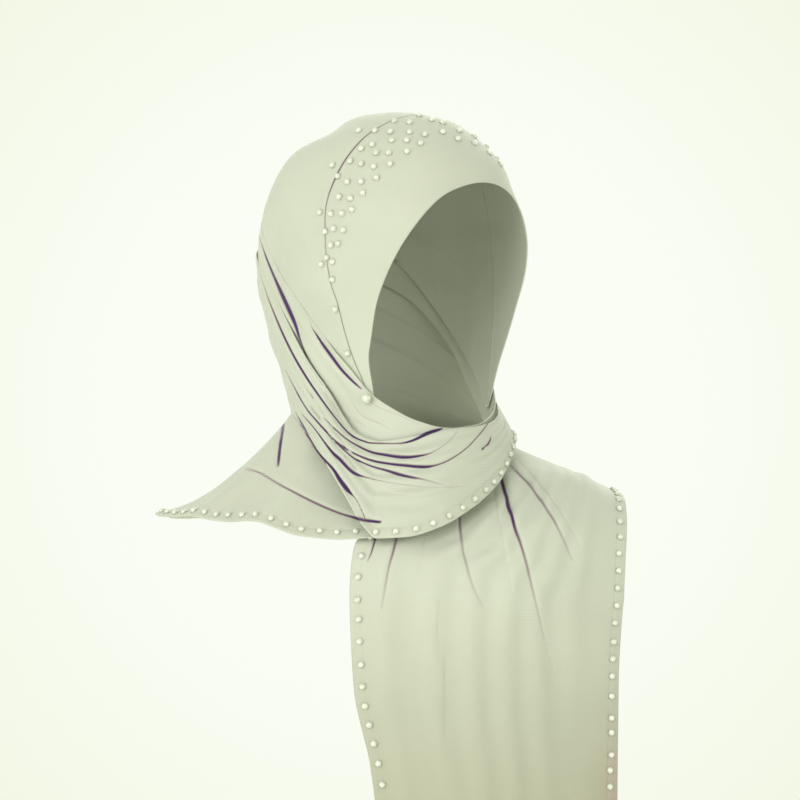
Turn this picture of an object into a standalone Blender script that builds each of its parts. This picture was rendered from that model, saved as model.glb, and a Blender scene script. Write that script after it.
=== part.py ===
"""Hijab headscarf, worn: hood, cowl folds round the neck, shoulder drape and a long front panel.

The scarf keeps the hollow form of a plain head, neck and shoulders. The origin is the crown,
+Z is up, the front of the shoulders faces -Y and the head is turned towards +X.
Tables are in millimetres and degrees. Azimuth 0 is +X, 90 the back and -90 the front.
"""
import math

import bpy
from mathutils import Vector

MM = 0.001
WALL = 1.5
SEAM_GAP = 0.3
LAYER = 2.4
HEAD_TURN = 42.0
CAST_HEIGHT = -155.0
NAPE_SPREAD = 40.0
FAR_BAND_FLARE = 5.0
FLARE_START = 0.45
PIN_RADIUS = 3.5
PIN_SEGMENTS = 18
PIN_RINGS = 10

JERSEY_COLOUR = (0.60, 0.62, 0.52, 1.0)
PIN_COLOUR = (0.85, 0.85, 0.78, 1.0)

# The plain form under the cloth: height, half width, front depth, back depth, turn
FORM_ROWS = (
    (0.0, 0.0, 0.0, 0.0, 42.0),
    (-10.0, 38.0, 53.0, 50.0, 42.0),
    (-25.0, 57.0, 77.0, 78.0, 42.0),
    (-50.0, 73.0, 98.0, 97.0, 42.0),
    (-80.0, 82.0, 109.0, 105.0, 42.0),
    (-110.0, 83.0, 106.0, 106.0, 42.0),
    (-140.0, 80.0, 99.0, 101.0, 42.0),
    (-170.0, 75.0, 91.0, 92.0, 42.0),
    (-200.0, 69.0, 84.0, 81.0, 42.0),
    (-230.0, 66.0, 79.0, 76.0, 30.0),
    (-260.0, 70.0, 80.0, 80.0, 12.0),
    (-330.0, 75.0, 84.0, 84.0, 0.0),
)

# Soft hollows pressed into that form: azimuth, height, half spread round, half spread in height, depth
DENT_ROWS = (
    (190.0, -208.0, 38.0, 26.0, 11.5),
    (185.0, -150.0, 40.0, 45.0, 5.0),
    (172.0, -14.0, 45.0, 9.0, 9.5),
    (-15.0, -68.0, 30.0, 22.0, 5.0),
    (-35.0, -8.0, 40.0, 8.0, -3.0),
)

# Face edge, the same on both sides of the head: height, forward of the ears
EDGE_ROWS = (
    (-213.0, 46.0),
    (-200.0, 47.0),
    (-180.0, 47.6),
    (-165.0, 51.6),
    (-135.0, 61.0),
    (-102.0, 76.5),
    (-75.0, 91.0),
    (-62.0, 97.0),
)
EDGE_TOP = (-55.0, 101.0)

# Fold line behind the beaded band: height, forward of the ears
SEAM_ROWS = (
    (-213.0, 41.0),
    (-196.0, 41.4),
    (-180.0, 37.8),
    (-162.0, 34.6),
    (-139.0, 31.3),
    (-125.0, 27.6),
    (-96.0, 24.0),
    (-62.0, 23.0),
    (-25.0, 29.5),
    (-10.0, 35.5),
)
SEAM_TOP = (-3.5, 38.0)

# Wrap under the chin: azimuth, height of its upper edge, height of its lower edge
CHIN_ROWS = (
    (-180.0, -89.0, -123.0),
    (-155.0, -122.0, -160.0),
    (-133.0, -153.0, -200.0),
    (-121.0, -170.0, -219.0),
    (-110.0, -186.0, -236.0),
    (-100.0, -202.0, -246.0),
    (-90.0, -212.0, -248.0),
    (-75.0, -223.0, -244.0),
    (-60.0, -228.0, -240.0),
    (-40.0, -225.0, -237.0),
    (-20.0, -216.0, -233.0),
    (0.0, -205.0, -230.0),
    (30.0, -162.0, -205.0),
    (60.0, -118.0, -160.0),
    (90.0, -83.0, -122.0),
    (132.0, -62.0, -98.0),
)

# Soft folds of the wrap under the chin: place from upper to lower edge, half height, how far it stands out
CHIN_FOLDS = (
    (0.22, 0.13, 1.6),
    (0.62, 0.16, 2.4),
)

# Cowl folds round the neck: azimuth, upper edge, hem height, hem radius, share of the fold depth
COWL_ROWS = (
    (-180.0, -112.0, -214.0, 70.0, 0.3),
    (-155.0, -150.0, -221.5, 72.0, 0.5),
    (-133.0, -190.0, -234.0, 81.0, 0.8),
    (-124.0, -204.0, -241.0, 90.0, 0.9),
    (-115.0, -221.0, -254.0, 100.0, 1.0),
    (-107.0, -233.0, -270.0, 110.0, 1.0),
    (-100.0, -238.0, -290.0, 118.0, 1.0),
    (-94.0, -239.5, -303.0, 120.0, 1.0),
    (-84.0, -237.5, -302.0, 120.0, 1.0),
    (-72.0, -233.5, -295.0, 118.0, 1.0),
    (-60.0, -230.0, -284.0, 112.0, 0.9),
    (-40.0, -227.0, -266.0, 101.0, 0.8),
    (-20.0, -221.0, -249.0, 93.0, 0.6),
    (0.0, -213.0, -238.0, 91.0, 0.5),
    (30.0, -190.0, -234.0, 93.0, 0.4),
    (60.0, -148.0, -236.0, 95.0, 0.4),
    (90.0, -110.0, -236.0, 96.0, 0.4),
    (132.0, -87.0, -228.0, 87.0, 0.4),
)

# Rolls of the cowl: place from upper edge to hem, half height, how far it stands out
ROLL_ROWS = (
    (0.02, 0.06, 2.6),
    (0.15, 0.06, 4.2),
    (0.28, 0.06, 5.0),
    (0.42, 0.07, 4.4),
    (0.60, 0.09, 3.4),
    (0.78, 0.09, 2.2),
)

# Cape over the shoulders: azimuth, neck radius and height, middle radius and height, hem radius and height
CAPE_ROWS = (
    (18.0, 80.0, -236.0, 118.0, -262.0, 172.0, -284.0),
    (40.0, 80.0, -232.0, 116.0, -264.0, 168.0, -299.0),
    (65.0, 80.0, -228.0, 113.0, -264.0, 148.0, -301.0),
    (90.0, 80.0, -226.0, 112.0, -264.0, 139.0, -302.0),
    (115.0, 79.0, -222.0, 112.0, -266.0, 145.0, -302.0),
    (140.0, 70.5, -216.0, 114.0, -267.0, 160.0, -301.0),
    (160.0, 61.0, -207.0, 116.0, -268.0, 170.0, -297.0),
    (180.0, 56.0, -199.0, 114.0, -267.0, 169.0, -293.0),
    (195.0, 55.5, -202.0, 108.0, -262.0, 150.0, -293.0),
    (210.0, 59.5, -210.0, 103.0, -264.0, 137.0, -294.0),
    (225.0, 67.5, -224.0, 99.0, -268.0, 129.0, -294.0),
    (240.0, 78.0, -252.0, 99.0, -279.0, 122.0, -302.0),
    (252.0, 86.0, -270.0, 101.0, -288.0, 115.0, -304.0),
    (268.0, 95.0, -283.0, 103.0, -292.0, 111.0, -302.0),
)
CAPE_SPLIT = 165.0

# Soft folds of the cape: azimuth at the neck, azimuth at the hem, width in degrees, depth
CAPE_FOLDS = (
    (30.0, 34.0, 7.0, 2.5),
    (52.0, 55.0, 8.0, 3.5),
    (78.0, 74.0, 8.0, 3.0),
    (102.0, 104.0, 9.0, 3.6),
    (128.0, 124.0, 8.0, 2.8),
    (150.0, 147.0, 7.0, 2.6),
    (186.0, 176.0, 6.0, 2.2),
    (205.0, 198.0, 6.0, 2.6),
    (226.0, 222.0, 6.0, 2.0),
)

# Front panel: left across, depth, height, right across, depth, height, bow forward, bow up
PANEL_ROWS = (
    (76.1, 24.7, -236.0, 163.6, 53.1, -284.0, 0.0, 0.0),
    (81.0, 2.0, -240.0, 169.0, 8.0, -277.0, 0.0, 0.0),
    (77.0, -24.0, -255.0, 169.0, -30.0, -281.0, 2.0, 5.0),
    (62.0, -53.0, -275.0, 168.0, -56.0, -296.0, 6.0, 10.0),
    (36.0, -79.0, -289.0, 166.0, -70.0, -318.0, 12.0, 10.0),
    (6.0, -94.0, -299.0, 164.0, -79.0, -345.0, 16.0, 8.0),
    (-21.3, -104.0, -306.0, 162.0, -84.0, -368.0, 18.0, 6.0),
    (-26.0, -110.0, -342.0, 160.0, -88.0, -396.0, 20.0, 2.0),
    (-23.0, -116.0, -405.0, 159.0, -90.0, -436.0, 18.0, 0.0),
    (-11.0, -119.0, -462.0, 158.5, -91.0, -482.0, 17.0, 0.0),
    (-4.0, -120.0, -530.0, 158.5, -91.0, -540.0, 16.0, 0.0),
    (-1.0, -120.0, -602.0, 159.0, -91.0, -602.0, 16.0, 0.0),
)

# Gathers of the panel: place at the shoulder, place at the hem, start and end down the panel, depth
GATHER_ROWS = (
    (0.14, 0.12, 0.40, 1.00, 3.0),
    (0.34, 0.30, 0.26, 0.92, 4.0),
    (0.46, 0.44, 0.16, 1.00, 4.6),
    (0.56, 0.58, 0.10, 0.95, 5.0),
    (0.65, 0.71, 0.04, 0.88, 4.4),
    (0.75, 0.84, 0.00, 0.75, 3.6),
)
GATHER_CROWDING = 1.5
GATHER_WIDTH = 0.045

BAND_GRID = (44, 5)
HOOD_GRID = (38, 16)
CHIN_GRID = (56, 8)
COWL_GRID = (60, 17)
SHOULDER_GRID = (22, 9)
BACK_GRID = (30, 10)
PANEL_GRID = (32, 21)


def clear_scene():
    for item in list(bpy.data.objects):
        bpy.data.objects.remove(item, do_unlink=True)


def material(name, colour, roughness, metallic):
    finish = bpy.data.materials.new(name)
    finish.use_nodes = True
    shader = finish.node_tree.nodes["Principled BSDF"]
    shader.inputs["Base Color"].default_value = colour
    shader.inputs["Roughness"].default_value = roughness
    shader.inputs["Metallic"].default_value = metallic
    finish.diffuse_color = colour
    return finish


def mix(a, b, share):
    return a + (b - a) * share


def cubic(a, b, c, d, share):
    """Smooth value between b and c, with a and d as the neighbours beyond them."""
    s2 = share * share
    s3 = s2 * share
    return 0.5 * (2 * b + (c - a) * share + (2 * a - 5 * b + 4 * c - d) * s2 + (3 * b - a - 3 * c + d) * s3)


def table_value(rows, key, column, period=None):
    """Read one column of a table at a key, smoothly, with keys that rise and may come round."""
    keys = [row[0] for row in rows]
    values = [row[column] for row in rows]
    if period:
        key = (key - keys[0]) % period + keys[0]
        keys = [keys[-1] - period] + keys + [keys[0] + period, keys[1] + period]
        values = [values[-1]] + values + [values[0], values[1]]
    else:
        key = min(max(key, keys[0]), keys[-1])
        keys = [2 * keys[0] - keys[1]] + keys + [2 * keys[-1] - keys[-2]]
        values = [2 * values[0] - values[1]] + values + [2 * values[-1] - values[-2]]
    index = 1
    while index < len(keys) - 3 and key > keys[index + 1]:
        index += 1
    share = (key - keys[index]) / (keys[index + 1] - keys[index])
    slopes = [(values[i + 1] - values[i]) / (keys[i + 1] - keys[i]) for i in range(index - 1, index + 2)]
    tangents = []
    for before, after in ((slopes[0], slopes[1]), (slopes[1], slopes[2])):
        level = before * after <= 0
        tangents.append(0.0 if level else 2 * before * after / (before + after))
    span = keys[index + 1] - keys[index]
    s2 = share * share
    s3 = s2 * share
    start = (2 * s3 - 3 * s2 + 1) * values[index] + (s3 - 2 * s2 + share) * span * tangents[0]
    end = (3 * s2 - 2 * s3) * values[index + 1] + (s3 - s2) * span * tangents[1]
    return start + end


def head_axes(turn):
    """Across and forward directions of a section turned by some degrees towards +X."""
    angle = math.radians(turn)
    across = Vector((math.cos(angle), math.sin(angle), 0.0))
    forward = Vector((math.sin(angle), -math.cos(angle), 0.0))
    return across, forward


FORM_BY_HEIGHT = tuple(sorted((row[0], row[1] ** 2, row[2] ** 2, row[3] ** 2, row[4]) for row in FORM_ROWS))


def dent(azimuth, height):
    """How deep the form is pressed in at an azimuth and a height."""
    total = 0.0
    for middle, level, spread, tall, depth in DENT_ROWS:
        away = ((azimuth - middle + 180.0) % 360.0 - 180.0) / spread
        total += depth * math.exp(-away ** 2 - ((height - level) / tall) ** 2)
    return total


def form_radius(azimuth, height):
    """Radius of the form at an azimuth and a height, from its squared section sizes and its dents."""
    if height >= 0.0:
        return 0.0
    half, front, back = (math.sqrt(max(table_value(FORM_BY_HEIGHT, height, i), 1.0)) for i in (1, 2, 3))
    turn = table_value(FORM_BY_HEIGHT, height, 4)
    angle = math.radians(azimuth + 90.0 - turn)
    depth = front if math.cos(angle) > 0 else back
    radius = 1.0 / math.sqrt((math.cos(angle) / depth) ** 2 + (math.sin(angle) / half) ** 2)
    return max(radius - dent(azimuth, height) * min(1.0, -height / 8.0), 0.0)


def polar(azimuth, radius, height):
    angle = math.radians(azimuth)
    return Vector((radius * math.cos(angle), radius * math.sin(angle), height))


def cast(direction):
    """Point where a line from inside the head meets the plain form."""
    azimuth = math.degrees(math.atan2(direction.y, direction.x))
    level = math.hypot(direction.x, direction.y)
    near, far = 0.0, 260.0
    for _ in range(40):
        middle = 0.5 * (near + far)
        height = CAST_HEIGHT + middle * direction.z
        inside = height < 0.0 and middle * level < form_radius(azimuth, height)
        near, far = (middle, far) if inside else (near, middle)
    return Vector((0.0, 0.0, CAST_HEIGHT)) + direction * near


def resample(points, count):
    """Evenly spaced points along a smooth curve through some points."""
    fine = []
    last = len(points) - 1
    for i in range(last):
        a, b = points[max(i - 1, 0)], points[i]
        c, d = points[i + 1], points[min(i + 2, last)]
        fine += [cubic(a, b, c, d, step / 12.0) for step in range(12)]
    fine.append(points[-1])
    along = [0.0]
    for before, after in zip(fine, fine[1:]):
        along.append(along[-1] + (after - before).length)
    result = []
    index = 0
    for step in range(count + 1):
        target = along[-1] * step / count
        while index < len(along) - 2 and along[index + 1] < target:
            index += 1
        share = (target - along[index]) / (along[index + 1] - along[index])
        result.append(fine[index].lerp(fine[index + 1], min(max(share, 0.0), 1.0)))
    return result


def head_arc(rows, top, count, shift=0.0):
    """Directions along an arc from the near side over the head to the far side."""
    across, forward = head_axes(HEAD_TURN)
    near, far = [], []
    for height, ahead in rows:
        half = math.sqrt(table_value(FORM_BY_HEIGHT, height, 1))
        front = math.sqrt(table_value(FORM_BY_HEIGHT, height, 2))
        side = half * math.sqrt(max(1.0 - (ahead / front) ** 2, 0.0))
        level = Vector((0.0, 0.0, height)) + forward * (ahead + shift)
        near.append(level - across * side)
        far.append(level + across * side)
    crest = Vector((0.0, 0.0, top[0])) + forward * (top[1] + shift)
    points = near + [crest] + far[::-1]
    centre = Vector((0.0, 0.0, CAST_HEIGHT))
    return [(point - centre).normalized() for point in resample(points, count)]


def nape_arc(count):
    """Directions along the back of the tilted ring where the hood ends."""
    result = []
    for step in range(count + 1):
        azimuth = 132.0 + NAPE_SPREAD * (1.0 - 2.0 * step / count)
        height = table_value(CHIN_ROWS, azimuth, 1, 360.0) - 12.0
        point = polar(azimuth, form_radius(azimuth, height), height)
        result.append((point - Vector((0.0, 0.0, CAST_HEIGHT))).normalized())
    return result


def form_normal(point):
    """Outward direction of the plain form at a point on it."""
    azimuth = math.degrees(math.atan2(point.y, point.x))
    height = min(point.z, -1.0)
    side_a = polar(azimuth + 1.5, form_radius(azimuth + 1.5, height), height)
    side_b = polar(azimuth - 1.5, form_radius(azimuth - 1.5, height), height)
    above = polar(azimuth, form_radius(azimuth, min(height + 1.5, 0.0)), min(height + 1.5, 0.0))
    below = polar(azimuth, form_radius(azimuth, height - 1.5), height - 1.5)
    return (side_a - side_b).cross(above - below).normalized()


def grid_normals(grid, ring, outward):
    """Direction across the wall at each point of a grid, from its neighbours."""
    across, down = len(grid[0]), len(grid)
    normals = []
    for j in range(down):
        line = []
        for i in range(across):
            left = grid[j][(i - 1) % across] if ring else grid[j][max(i - 1, 0)]
            right = grid[j][(i + 1) % across] if ring else grid[j][min(i + 1, across - 1)]
            over, under = grid[max(j - 1, 0)][i], grid[min(j + 1, down - 1)][i]
            line.append((right - left).cross(over - under).normalized())
        normals.append(line)
    middle = normals[down // 2][across // 2]
    if middle.dot(outward(grid[down // 2][across // 2])) < 0:
        normals = [[-normal for normal in line] for line in normals]
    return normals


def from_axis(point):
    return Vector((point.x, point.y, 0.0))


def wall(name, grid, finish, ring=False, thickness=WALL):
    """Closed wall whose inner side is the grid and whose outer side stands off by the thickness."""
    across, down = len(grid[0]), len(grid)
    normals = grid_normals(grid, ring, from_axis)
    inner = [point for line in grid for point in line]
    across_wall = [normal * thickness for line in normals for normal in line]
    outer = [point + step for point, step in zip(inner, across_wall)]
    count = across * down
    faces = []
    spans = across if ring else across - 1
    for j in range(down - 1):
        for i in range(spans):
            k = (i + 1) % across
            a, b = j * across + i, j * across + k
            c, d = (j + 1) * across + k, (j + 1) * across + i
            faces.append((a, b, c, d))
            faces.append((count + d, count + c, count + b, count + a))
    rims = []
    for j, flip in ((0, False), (down - 1, True)):
        rims += [(j * across + i, j * across + (i + 1) % across, flip) for i in range(spans)]
    if not ring:
        for i, flip in ((0, True), (across - 1, False)):
            rims += [(j * across + i, (j + 1) * across + i, flip) for j in range(down - 1)]
    for a, b, flip in rims:
        faces.append((a, b, count + b, count + a) if flip else (b, a, count + a, count + b))
    mesh = bpy.data.meshes.new(name)
    mesh.from_pydata([tuple(point * MM) for point in inner + outer], [], faces)
    mesh.update()
    if signed_volume(mesh) < 0:
        mesh.flip_normals()
    mesh.shade_smooth()
    mesh.set_sharp_from_angle(angle=math.radians(50.0))
    mesh.materials.append(finish)
    item = bpy.data.objects.new(name, mesh)
    bpy.context.collection.objects.link(item)
    return item


def signed_volume(mesh):
    total = 0.0
    for face in mesh.polygons:
        corners = [mesh.vertices[index].co for index in face.vertices]
        for i in range(1, len(corners) - 1):
            total += corners[0].dot(corners[i].cross(corners[i + 1]))
    return total / 6.0


def hood_sheets(finish):
    """Front band and hood, which meet at the fold line with the seam gap between them."""
    edge = head_arc(EDGE_ROWS, EDGE_TOP, BAND_GRID[0])
    seam = head_arc(SEAM_ROWS, SEAM_TOP, BAND_GRID[0])
    band = []
    for j in range(BAND_GRID[1] + 1):
        share = j / BAND_GRID[1]
        line = []
        for i, (front, back) in enumerate(zip(edge, seam)):
            point = cast(front.slerp(back, share * 0.995))
            place = max(i / BAND_GRID[0] - FLARE_START, 0.0) / (1.0 - FLARE_START)
            lift = FAR_BAND_FLARE * math.sin(math.pi * place) * (1.0 - share) ** 1.5
            line.append(point + form_normal(point) * lift)
        band.append(line)
    wall("front_band", band, finish)
    back_edge = head_arc(SEAM_ROWS, SEAM_TOP, HOOD_GRID[0], -SEAM_GAP - 0.3)
    nape = nape_arc(HOOD_GRID[0])
    hood = []
    for j in range(HOOD_GRID[1] + 1):
        share = j / HOOD_GRID[1]
        hood.append([cast(front.slerp(back, share)) for front, back in zip(back_edge, nape)])
    wall("hood", hood, finish)


def roll_height(rows, place, strength):
    """How far a wrap stands out at a place between its upper and its lower edge."""
    total = 0.0
    for centre, half, depth in rows:
        total += depth * math.exp(-((place - centre) / half) ** 2)
    return total * strength


def near_side(azimuth):
    """Share of a fold that runs from the back of the head round the near side and ends at the pin."""
    away = (azimuth + 360.0) % 360.0 - 215.0
    return math.exp(-(away / 42.0) ** 2)


def chin_wrap(finish):
    """Smooth ring from the back of the head down under the chin, on the hood."""
    grid = []
    for j in range(CHIN_GRID[1] + 1):
        share = j / CHIN_GRID[1]
        line = []
        for i in range(CHIN_GRID[0]):
            azimuth = -180.0 + 360.0 * i / CHIN_GRID[0]
            top, low = (table_value(CHIN_ROWS, azimuth, column, 360.0) for column in (1, 2))
            height = mix(top, low, share)
            point = polar(azimuth, form_radius(azimuth, height), height)
            fold = roll_height(CHIN_FOLDS, share, 1.0) if share < 0.95 else 0.0
            line.append(point + form_normal(point) * (LAYER + fold * near_side(azimuth)))
        grid.append(line)
    return wall("chin_wrap", grid, finish, ring=True)


def neck_wrap(finish):
    """Cowl of loose rolls from the back of the head to the beaded hem at the front."""
    grid = []
    for j in range(COWL_GRID[1] + 1):
        share = j / COWL_GRID[1]
        line = []
        for i in range(COWL_GRID[0]):
            azimuth = -180.0 + 360.0 * i / COWL_GRID[0]
            values = [table_value(COWL_ROWS, azimuth, column, 360.0) for column in (1, 2, 3, 4)]
            top, low, hem, strength = values
            height = mix(top, low, share)
            start = polar(azimuth, form_radius(azimuth, top), top)
            lift = form_normal(start) * 2 * LAYER
            upper = start + lift
            lower = polar(azimuth, hem, low)
            base = upper.lerp(lower, share)
            skin = form_radius(azimuth, height) + 2 * LAYER
            if from_axis(base).length < skin:
                base = polar(azimuth, skin, base.z)
            outward = polar(azimuth, 1.0, 0.3).normalized()
            line.append(base + outward * roll_height(ROLL_ROWS, share, strength))
        grid.append(line)
    return wall("neck_wrap", grid, finish, ring=True)


def cape_point(azimuth, share):
    """Point of the cape at an azimuth and a share of the way from the neck to the hem."""
    values = [table_value(CAPE_ROWS, azimuth, column) for column in range(1, 7)]
    first, second = (1.0 - share) ** 2, 2.0 * share * (1.0 - share)
    third = share ** 2
    bend_radius = 2.0 * values[2] - 0.5 * (values[0] + values[4])
    bend_height = 2.0 * values[3] - 0.5 * (values[1] + values[5])
    radius = first * values[0] + second * bend_radius + third * values[4]
    height = first * values[1] + second * bend_height + third * values[5]
    for at_neck, at_hem, width, depth in CAPE_FOLDS:
        away = (azimuth - mix(at_neck, at_hem, share)) / width
        radius += depth * math.exp(-away * away) * min(1.0, 2.2 * share) * 0.7
        height += depth * math.exp(-away * away) * min(1.0, 2.2 * share) * 0.7
    return polar(azimuth, radius, height)


def cape_sheet(name, start, end, size, finish):
    grid = []
    for j in range(size[1] + 1):
        line = []
        for i in range(size[0] + 1):
            azimuth = mix(start, end, i / size[0])
            line.append(cape_point(azimuth, j / size[1]))
        grid.append(line)
    return wall(name, grid, finish)


def panel_point(across, down):
    """Point of the front panel, across from its left edge and down from the shoulder."""
    rows = [(float(i),) + row for i, row in enumerate(PANEL_ROWS)]
    key = down * (len(rows) - 1)
    values = [table_value(rows, key, column) for column in range(1, 9)]
    crowd = mix(GATHER_CROWDING, 1.0, min(1.0, down / 0.45))
    share = across ** crowd
    left, right = Vector(values[0:3]), Vector(values[3:6])
    arch = 4.0 * share * (1.0 - share)
    return left.lerp(right, share) + Vector((0.0, -values[6] * arch, values[7] * arch))


def gather_depth(across, down):
    total = 0.0
    for at_top, at_hem, start, end, depth in GATHER_ROWS:
        if not start < down < end + 0.001:
            continue
        place = (down - start) / (end - start)
        fade = min(1.0, 5.0 * place) * (1.0 - 0.75 * place)
        away = (across - mix(at_top, at_hem, down)) / GATHER_WIDTH
        total += depth * fade * math.exp(-away * away)
    return total


def front_panel(finish):
    """Free end of the scarf: over the shoulder and down the front, with gathers."""
    columns, rows = PANEL_GRID
    flat = [[panel_point(i / columns, j / rows) for i in range(columns + 1)] for j in range(rows + 1)]
    normals = grid_normals(flat, False, from_axis)
    grid = []
    for j, line in enumerate(flat):
        lifted = []
        for i, point in enumerate(line):
            lifted.append(point + normals[j][i] * gather_depth(i / columns, j / rows))
        grid.append(lifted)
    grid[0] = [point + Vector((0.0, -2 * SEAM_GAP, 0.0)) for point in grid[0]]
    return wall("front_panel", grid, finish)


def cheek_pin(finish):
    """Round head of the pin at the corner of the face opening."""
    azimuth = -100.0
    height = table_value(CHIN_ROWS, azimuth, 1, 360.0) - 4.0
    seat = polar(azimuth, form_radius(azimuth, height), height)
    normal = form_normal(seat)
    place = seat + normal * (LAYER + WALL + SEAM_GAP + 0.3 + PIN_RADIUS)
    bpy.ops.mesh.primitive_uv_sphere_add(segments=PIN_SEGMENTS, ring_count=PIN_RINGS, radius=PIN_RADIUS * MM)
    item = bpy.context.object
    item.name = "cheek_pin"
    item.data.name = "cheek_pin"
    item.location = place * MM
    item.data.materials.append(finish)
    item.data.shade_smooth()
    return item


def main():
    clear_scene()
    jersey = material("jersey", JERSEY_COLOUR, 0.55, 0.0)
    shine = material("pin", PIN_COLOUR, 0.2, 0.1)
    hood_sheets(jersey)
    chin_wrap(jersey)
    neck_wrap(jersey)
    cape_sheet("back_drape", 18.0, CAPE_SPLIT - 0.1, BACK_GRID, jersey)
    cape_sheet("shoulder_drape", CAPE_SPLIT + 0.1, 268.0, SHOULDER_GRID, jersey)
    front_panel(jersey)
    cheek_pin(shine)


main()
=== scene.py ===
"""Looks of the hijab headscarf: thin jersey shells with creases, hems, crystal beads and the pin.

Sizes are in millimetres and degrees until a mesh is made. Azimuth 0 is +X, 90 the back and -90
the front. A turn counts round from the front: 90 is +X, 180 the back and 270 is -X.
"""
import logging
import math
from dataclasses import dataclass, field
from enum import Enum

import bpy
import numpy as np
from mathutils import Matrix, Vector
from mathutils.bvhtree import BVHTree


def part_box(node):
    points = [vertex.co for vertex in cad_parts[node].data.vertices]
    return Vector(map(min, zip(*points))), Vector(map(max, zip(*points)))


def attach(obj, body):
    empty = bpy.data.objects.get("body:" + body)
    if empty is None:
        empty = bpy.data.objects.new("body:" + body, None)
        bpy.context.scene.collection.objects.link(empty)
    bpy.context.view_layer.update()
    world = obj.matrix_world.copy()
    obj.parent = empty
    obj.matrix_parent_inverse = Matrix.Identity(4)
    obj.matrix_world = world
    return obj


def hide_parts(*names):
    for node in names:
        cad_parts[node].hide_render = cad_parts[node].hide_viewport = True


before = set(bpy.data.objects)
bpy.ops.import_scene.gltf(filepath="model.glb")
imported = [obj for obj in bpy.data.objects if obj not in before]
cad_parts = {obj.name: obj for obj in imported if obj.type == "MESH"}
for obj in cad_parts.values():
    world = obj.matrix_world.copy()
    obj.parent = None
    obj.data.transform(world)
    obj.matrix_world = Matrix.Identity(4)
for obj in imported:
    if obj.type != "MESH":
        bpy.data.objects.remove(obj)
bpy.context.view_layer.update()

LOG = logging.getLogger("headscarf")
MM = 0.001
BODY = "root"
WALL = 1.5
LAYER = 2.4
CLOTH = 0.9
SEAM_GAP = 0.3
HEM_WIDTH = 7.6
HEAD_TURN = 42.0
CAST_HEIGHT = -155.0
CAST_FROM = np.array((0.0, 0.0, CAST_HEIGHT))
CAST_REACH = 260.0
VIEW_POINT = np.array((8.0, -2000.0, -208.0))
VIEW_WIDTH = 0.584

# The plain form under the cloth: height, half width, front depth, back depth, turn
FORM_ROWS = (
    (0.0, 0.0, 0.0, 0.0, 42.0),
    (-10.0, 38.0, 53.0, 50.0, 42.0),
    (-25.0, 57.0, 77.0, 78.0, 42.0),
    (-50.0, 73.0, 98.0, 97.0, 42.0),
    (-80.0, 82.0, 109.0, 105.0, 42.0),
    (-110.0, 83.0, 106.0, 106.0, 42.0),
    (-140.0, 80.0, 99.0, 101.0, 42.0),
    (-170.0, 75.0, 91.0, 92.0, 42.0),
    (-200.0, 69.0, 84.0, 81.0, 42.0),
    (-230.0, 66.0, 79.0, 76.0, 30.0),
    (-260.0, 70.0, 80.0, 80.0, 12.0),
    (-330.0, 75.0, 84.0, 84.0, 0.0),
)

# Soft hollows pressed into that form: azimuth, height, half spread round, half spread in height, depth
DENT_ROWS = (
    (190.0, -208.0, 38.0, 26.0, 11.5),
    (185.0, -150.0, 40.0, 45.0, 5.0),
    (172.0, -14.0, 45.0, 9.0, 9.5),
    (-15.0, -68.0, 30.0, 22.0, 5.0),
    (-35.0, -8.0, 40.0, 8.0, -3.0),
)

# Edge of the face opening: height, forward of the form's middle
EDGE_ROWS = (
    (-213.0, 46.0),
    (-200.0, 47.0),
    (-180.0, 47.6),
    (-165.0, 51.6),
    (-135.0, 61.0),
    (-102.0, 76.5),
    (-75.0, 91.0),
    (-62.0, 97.0),
)
EDGE_TOP = (-55.0, 101.0)

# Fold line behind the beaded band: height, forward of the form's middle
SEAM_ROWS = (
    (-213.0, 41.0),
    (-196.0, 41.4),
    (-180.0, 37.8),
    (-162.0, 34.6),
    (-139.0, 31.3),
    (-125.0, 27.6),
    (-96.0, 24.0),
    (-62.0, 23.0),
    (-25.0, 29.5),
    (-10.0, 35.5),
)
SEAM_TOP = (-3.5, 38.0)

# Wrap under the chin: azimuth, upper edge, lower edge
CHIN_ROWS = (
    (-180.0, -89.0, -123.0),
    (-155.0, -122.0, -160.0),
    (-133.0, -153.0, -200.0),
    (-121.0, -170.0, -219.0),
    (-110.0, -186.0, -236.0),
    (-100.0, -202.0, -246.0),
    (-90.0, -212.0, -248.0),
    (-75.0, -223.0, -244.0),
    (-60.0, -228.0, -240.0),
    (-40.0, -225.0, -237.0),
    (-20.0, -216.0, -233.0),
    (0.0, -205.0, -230.0),
    (30.0, -162.0, -205.0),
    (60.0, -118.0, -160.0),
    (90.0, -83.0, -122.0),
    (132.0, -62.0, -98.0),
)

# Folds of that wrap: place from upper to lower edge, half height, how far it stands out
CHIN_FOLDS = (
    (0.22, 0.13, 1.2),
    (0.62, 0.16, 1.8),
)

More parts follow.
